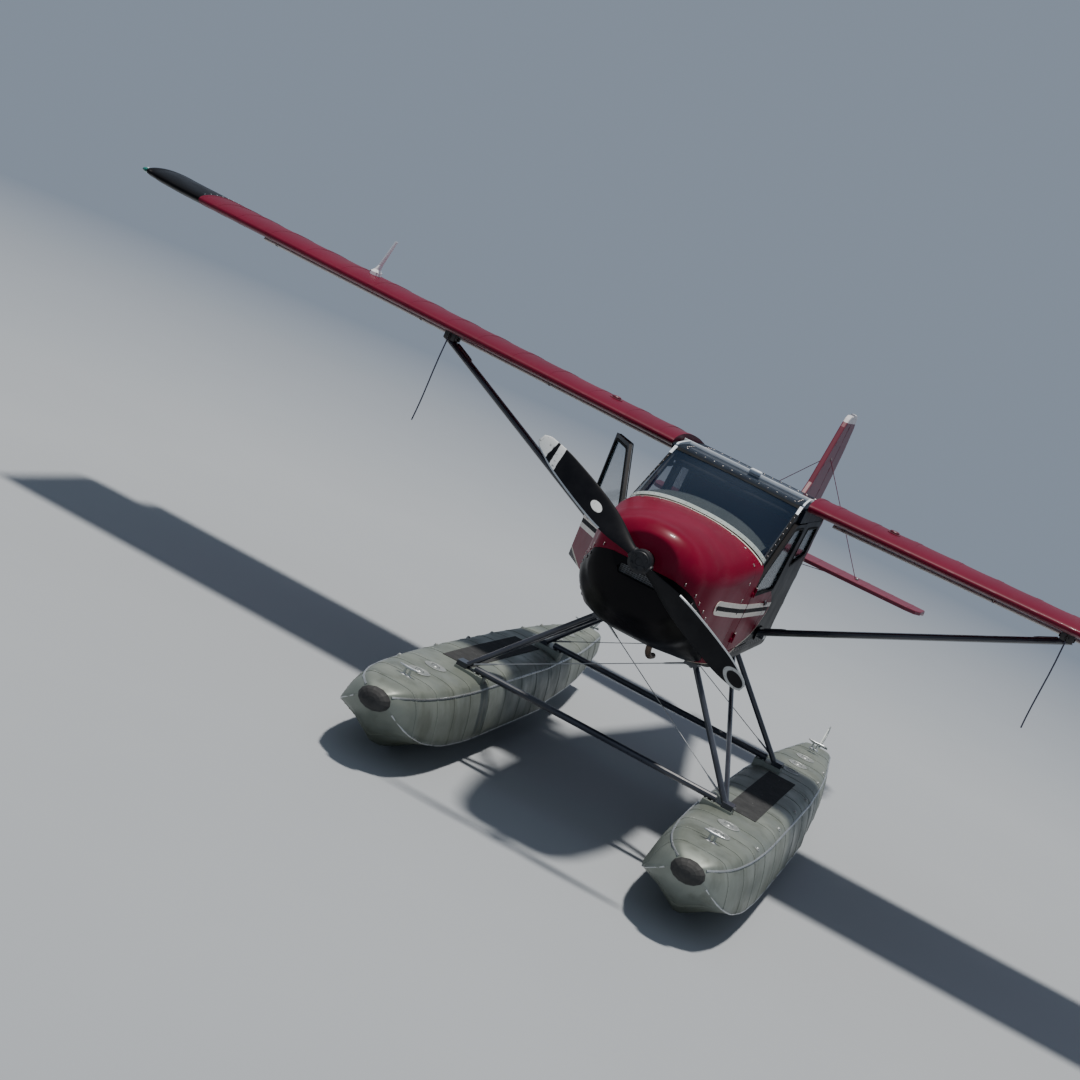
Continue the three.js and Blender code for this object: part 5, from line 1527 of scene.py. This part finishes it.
# Lift struts: one faired tube each side from the cabin's foot fitting to the wing's lug, painted dark.
# Each end has a forged cuff, and two bolts hold the foot.
cuff_paint = paint("cuff_paint", (0.05, 0.055, 0.065), (0.08, 0.085, 0.095), 10, 0.4, metallic=0.5)
for side, sign in hands:
    dress(strut_paint, 40, f"lift_struts_{side}")
    foot = at(sign * 495, 430, 1450)
    along = (at(sign * 2330, 315, 2335) - foot).normalized()
    across = along.cross(Vector((0, 1, 0))).normalized()
    forward = across.cross(along)
    bm = bmesh.new()
    for start, end in ((0.055, 0.20), (1.99, 1.84)):
        rings = []
        for reach, grow in ((start, 2.5), (start + (end - start) * 0.8, 2.5), (end, 0.3)):
            ring = []
            for turn in (2 * math.pi * k / 20 for k in range(20)):
                thick = (22 + grow) * math.sin(turn) * (1 - 0.35 * math.cos(turn))
                section = across * thick - forward * (66 + grow) * math.cos(turn)
                ring.append(foot + along * reach + section / 1000)
            rings.append(ring)
        add_rings(bm, rings)
    for station, facing in ((400, -1), (500, 1)):
        add_bolt(bm, at(sign * 540, station, 1450), (0, facing, 0), -2, 14, 6, 10, 9)
    put(f"strut_cuffs_{side}", bm, cuff_paint, 40)

# Rear fuselage: fabric over long stringers on a welded frame, tapering to the tail post.
# The stringers show as soft ridges, and the black of the cabin's sides runs on along the lower half.
# columns: station, half width, top, bottom, top corner x and z, bottom corner x and z
rear_table = [
    (1000.3, 500, 2405, 1250, 130, 60, 110, 90), (1290, 468, 2376, 1268, 200, 110, 120, 95),
    (1900, 345, 2300, 1350, 230, 170, 120, 100), (2700, 200, 2215, 1470, 150, 160, 90, 90),
    (3350, 95, 2150, 1572, 80, 110, 50, 70), (3700, 32, 2108, 1630, 27, 60, 26, 50),
]
stringer_shares = (0.12, 0.3, 0.5, 0.7, 0.88)


def rear_skin_ring(station):
    """A ring with close steps on its flat sides, top and bottom, raised at each stringer."""
    row = fair_row(rear_table, station)
    top, bottom = row[2:4]
    raw = body_ring(row, 0, 8)
    base = []
    for i, (a, b) in enumerate(zip(raw, raw[1:] + raw[:1])):
        parts = {17: 26, 35: 26, 8: 6, 26: 6}.get(i, 1)
        base += [a.lerp(b, k / parts) for k in range(parts)]
    fade_in = max(0, min(1, (station - 1010) / 120)) * max(0, min(1, (3690 - station) / 300))
    made = []
    for i, place in enumerate(base):
        ahead, behind = base[(i + 1) % len(base)], base[i - 1]
        normal = Vector((ahead.z - behind.z, 0, behind.x - ahead.x)).normalized()
        share = (place.z * 1000 - bottom) / (top - bottom)
        ridge = max(math.exp(-((share - each) / 0.022) ** 2) for each in stringer_shares)
        made.append(place + normal * fade_in * (3.0 * ridge - 1.0) / 1000)
    return made


bm = bmesh.new()
add_rings(bm, [rear_skin_ring(station) for station in steps_between(1000.3, 3700, 54)])
put("rear_cloth", bm, two_tone(wing_cloth, "rear_paint", 0.06, 0), 35, "rear_fuselage")

# Tail: fabric over tube outlines, maroon, with a pale top to the fin and the rudder.
# Tapes lie along every rib, and bolted hinges join the rudder and the elevator.
tail_hinge = 3735
tail_z = 1735
droop = math.radians(12)
tail_cloth, tree, shader = finish("tail_cloth", maroon, 0.46, 0, 0.12)
tail_base = mixed(cloud(tree, 1.6), (0.155, 0.003, 0.026), (0.120, 0.002, 0.020))
pale_edge = plus(height_of(tree), times(noise(tree, 30), 0.006))
feed(shader, "Base Color", mixed(graded(pale_edge, 2.893, 2.897), tail_base, (0.62, 0.60, 0.61)))
bumped(shader, noise(tree, 60, 3), 0.15, 0.0006)
dress(tail_cloth, 40, "fin", "rudder", "stabiliser_left", "stabiliser_right", "elevator")
# columns: height, front and rear station
fin_ribs = [(2300, 3190, 3712), (2500, 3300, 3712), (2700, 3420, 3712), (2880, 3520, 3712)]
rudder_ribs = [(2060, 3750, 4030), (2260, 3750, 4085), (2460, 3750, 4098), (2660, 3750, 4080),
               (2840, 3750, 4020)]
for name, ribs, half, body in (
    ("fin_tapes", fin_ribs, 22, "airframe"), ("rudder_tapes", rudder_ribs, 20, "rudder"),
):
    bm = bmesh.new()
    for face in (-1, 1):
        for z, front, rear in ribs:
            line = [(at(face * half, s, z), Vector((face, 0, 0))) for s in steps_between(front, rear, 6)]
            add_tape(bm, line, 34)
    put(name, bm, tail_cloth, 50, body=body)


def on_tail(x, station, face, half, tilt):
    """A place on a tail surface's top or underside, tilted down about the hinge, and its normal."""
    s, h = station - tail_hinge, face * half
    place = at(x, tail_hinge + s * math.cos(tilt) + h * math.sin(tilt),
               tail_z - s * math.sin(tilt) + h * math.cos(tilt))
    return place, Vector((0, face * math.sin(tilt), face * math.cos(tilt)))


# columns: x, front of the stabiliser's rib, rear of the elevator's rib
tail_ribs = ((300, 3290, 4020), (520, 3315, 4045), (740, 3335, 4045), (960, 3355, 4045), (1150, 3400, 4025))
for name, body, half, tilt in (
    ("stabiliser_tapes", "airframe", 17, 0), ("elevator_tapes", "elevator", 15, droop),
):
    bm = bmesh.new()
    for sign in (-1, 1):
        for x, front, rear in tail_ribs:
            ends = (tail_hinge + 12, rear) if tilt else (front, 3710)
            for face in (-1, 1):
                add_tape(bm, [on_tail(sign * x, s, face, half, tilt) for s in steps_between(*ends, 6)], 30)
    put(name, bm, tail_cloth, 50, body=body)
bm = bmesh.new()
for sign in (-1, 1):
    for x in (420, 1080):
        for facing in (-1, 1):
            add_bolt(bm, at(sign * x + 14 * facing, tail_hinge - 4, tail_z), (facing, 0, 0), -2, 9, 2, 6, 4)
for z in (2110, 2480, 2860):
    for facing in (-1, 1):
        add_bolt(bm, at(5 * facing, tail_hinge - 6, z), (facing, 0, 0), -2, 8, 2, 6, 4)
for sign in (-1, 1):
    for face in (-1, 1):
        add_block(bm, sign * 660, 3520, tail_z + face * 20, (26, 60, 8))
        add_bolt(bm, at(sign * 660, 3520, tail_z + face * 24), (0, 0, face), -2, 10, 6, 7, 8)
    add_bolt(bm, at(sign * 22, 3560, 2558), (sign, 0, 0), -2, 12, 4, 9, 6)
put("tail_fittings", bm, bolt_metal)
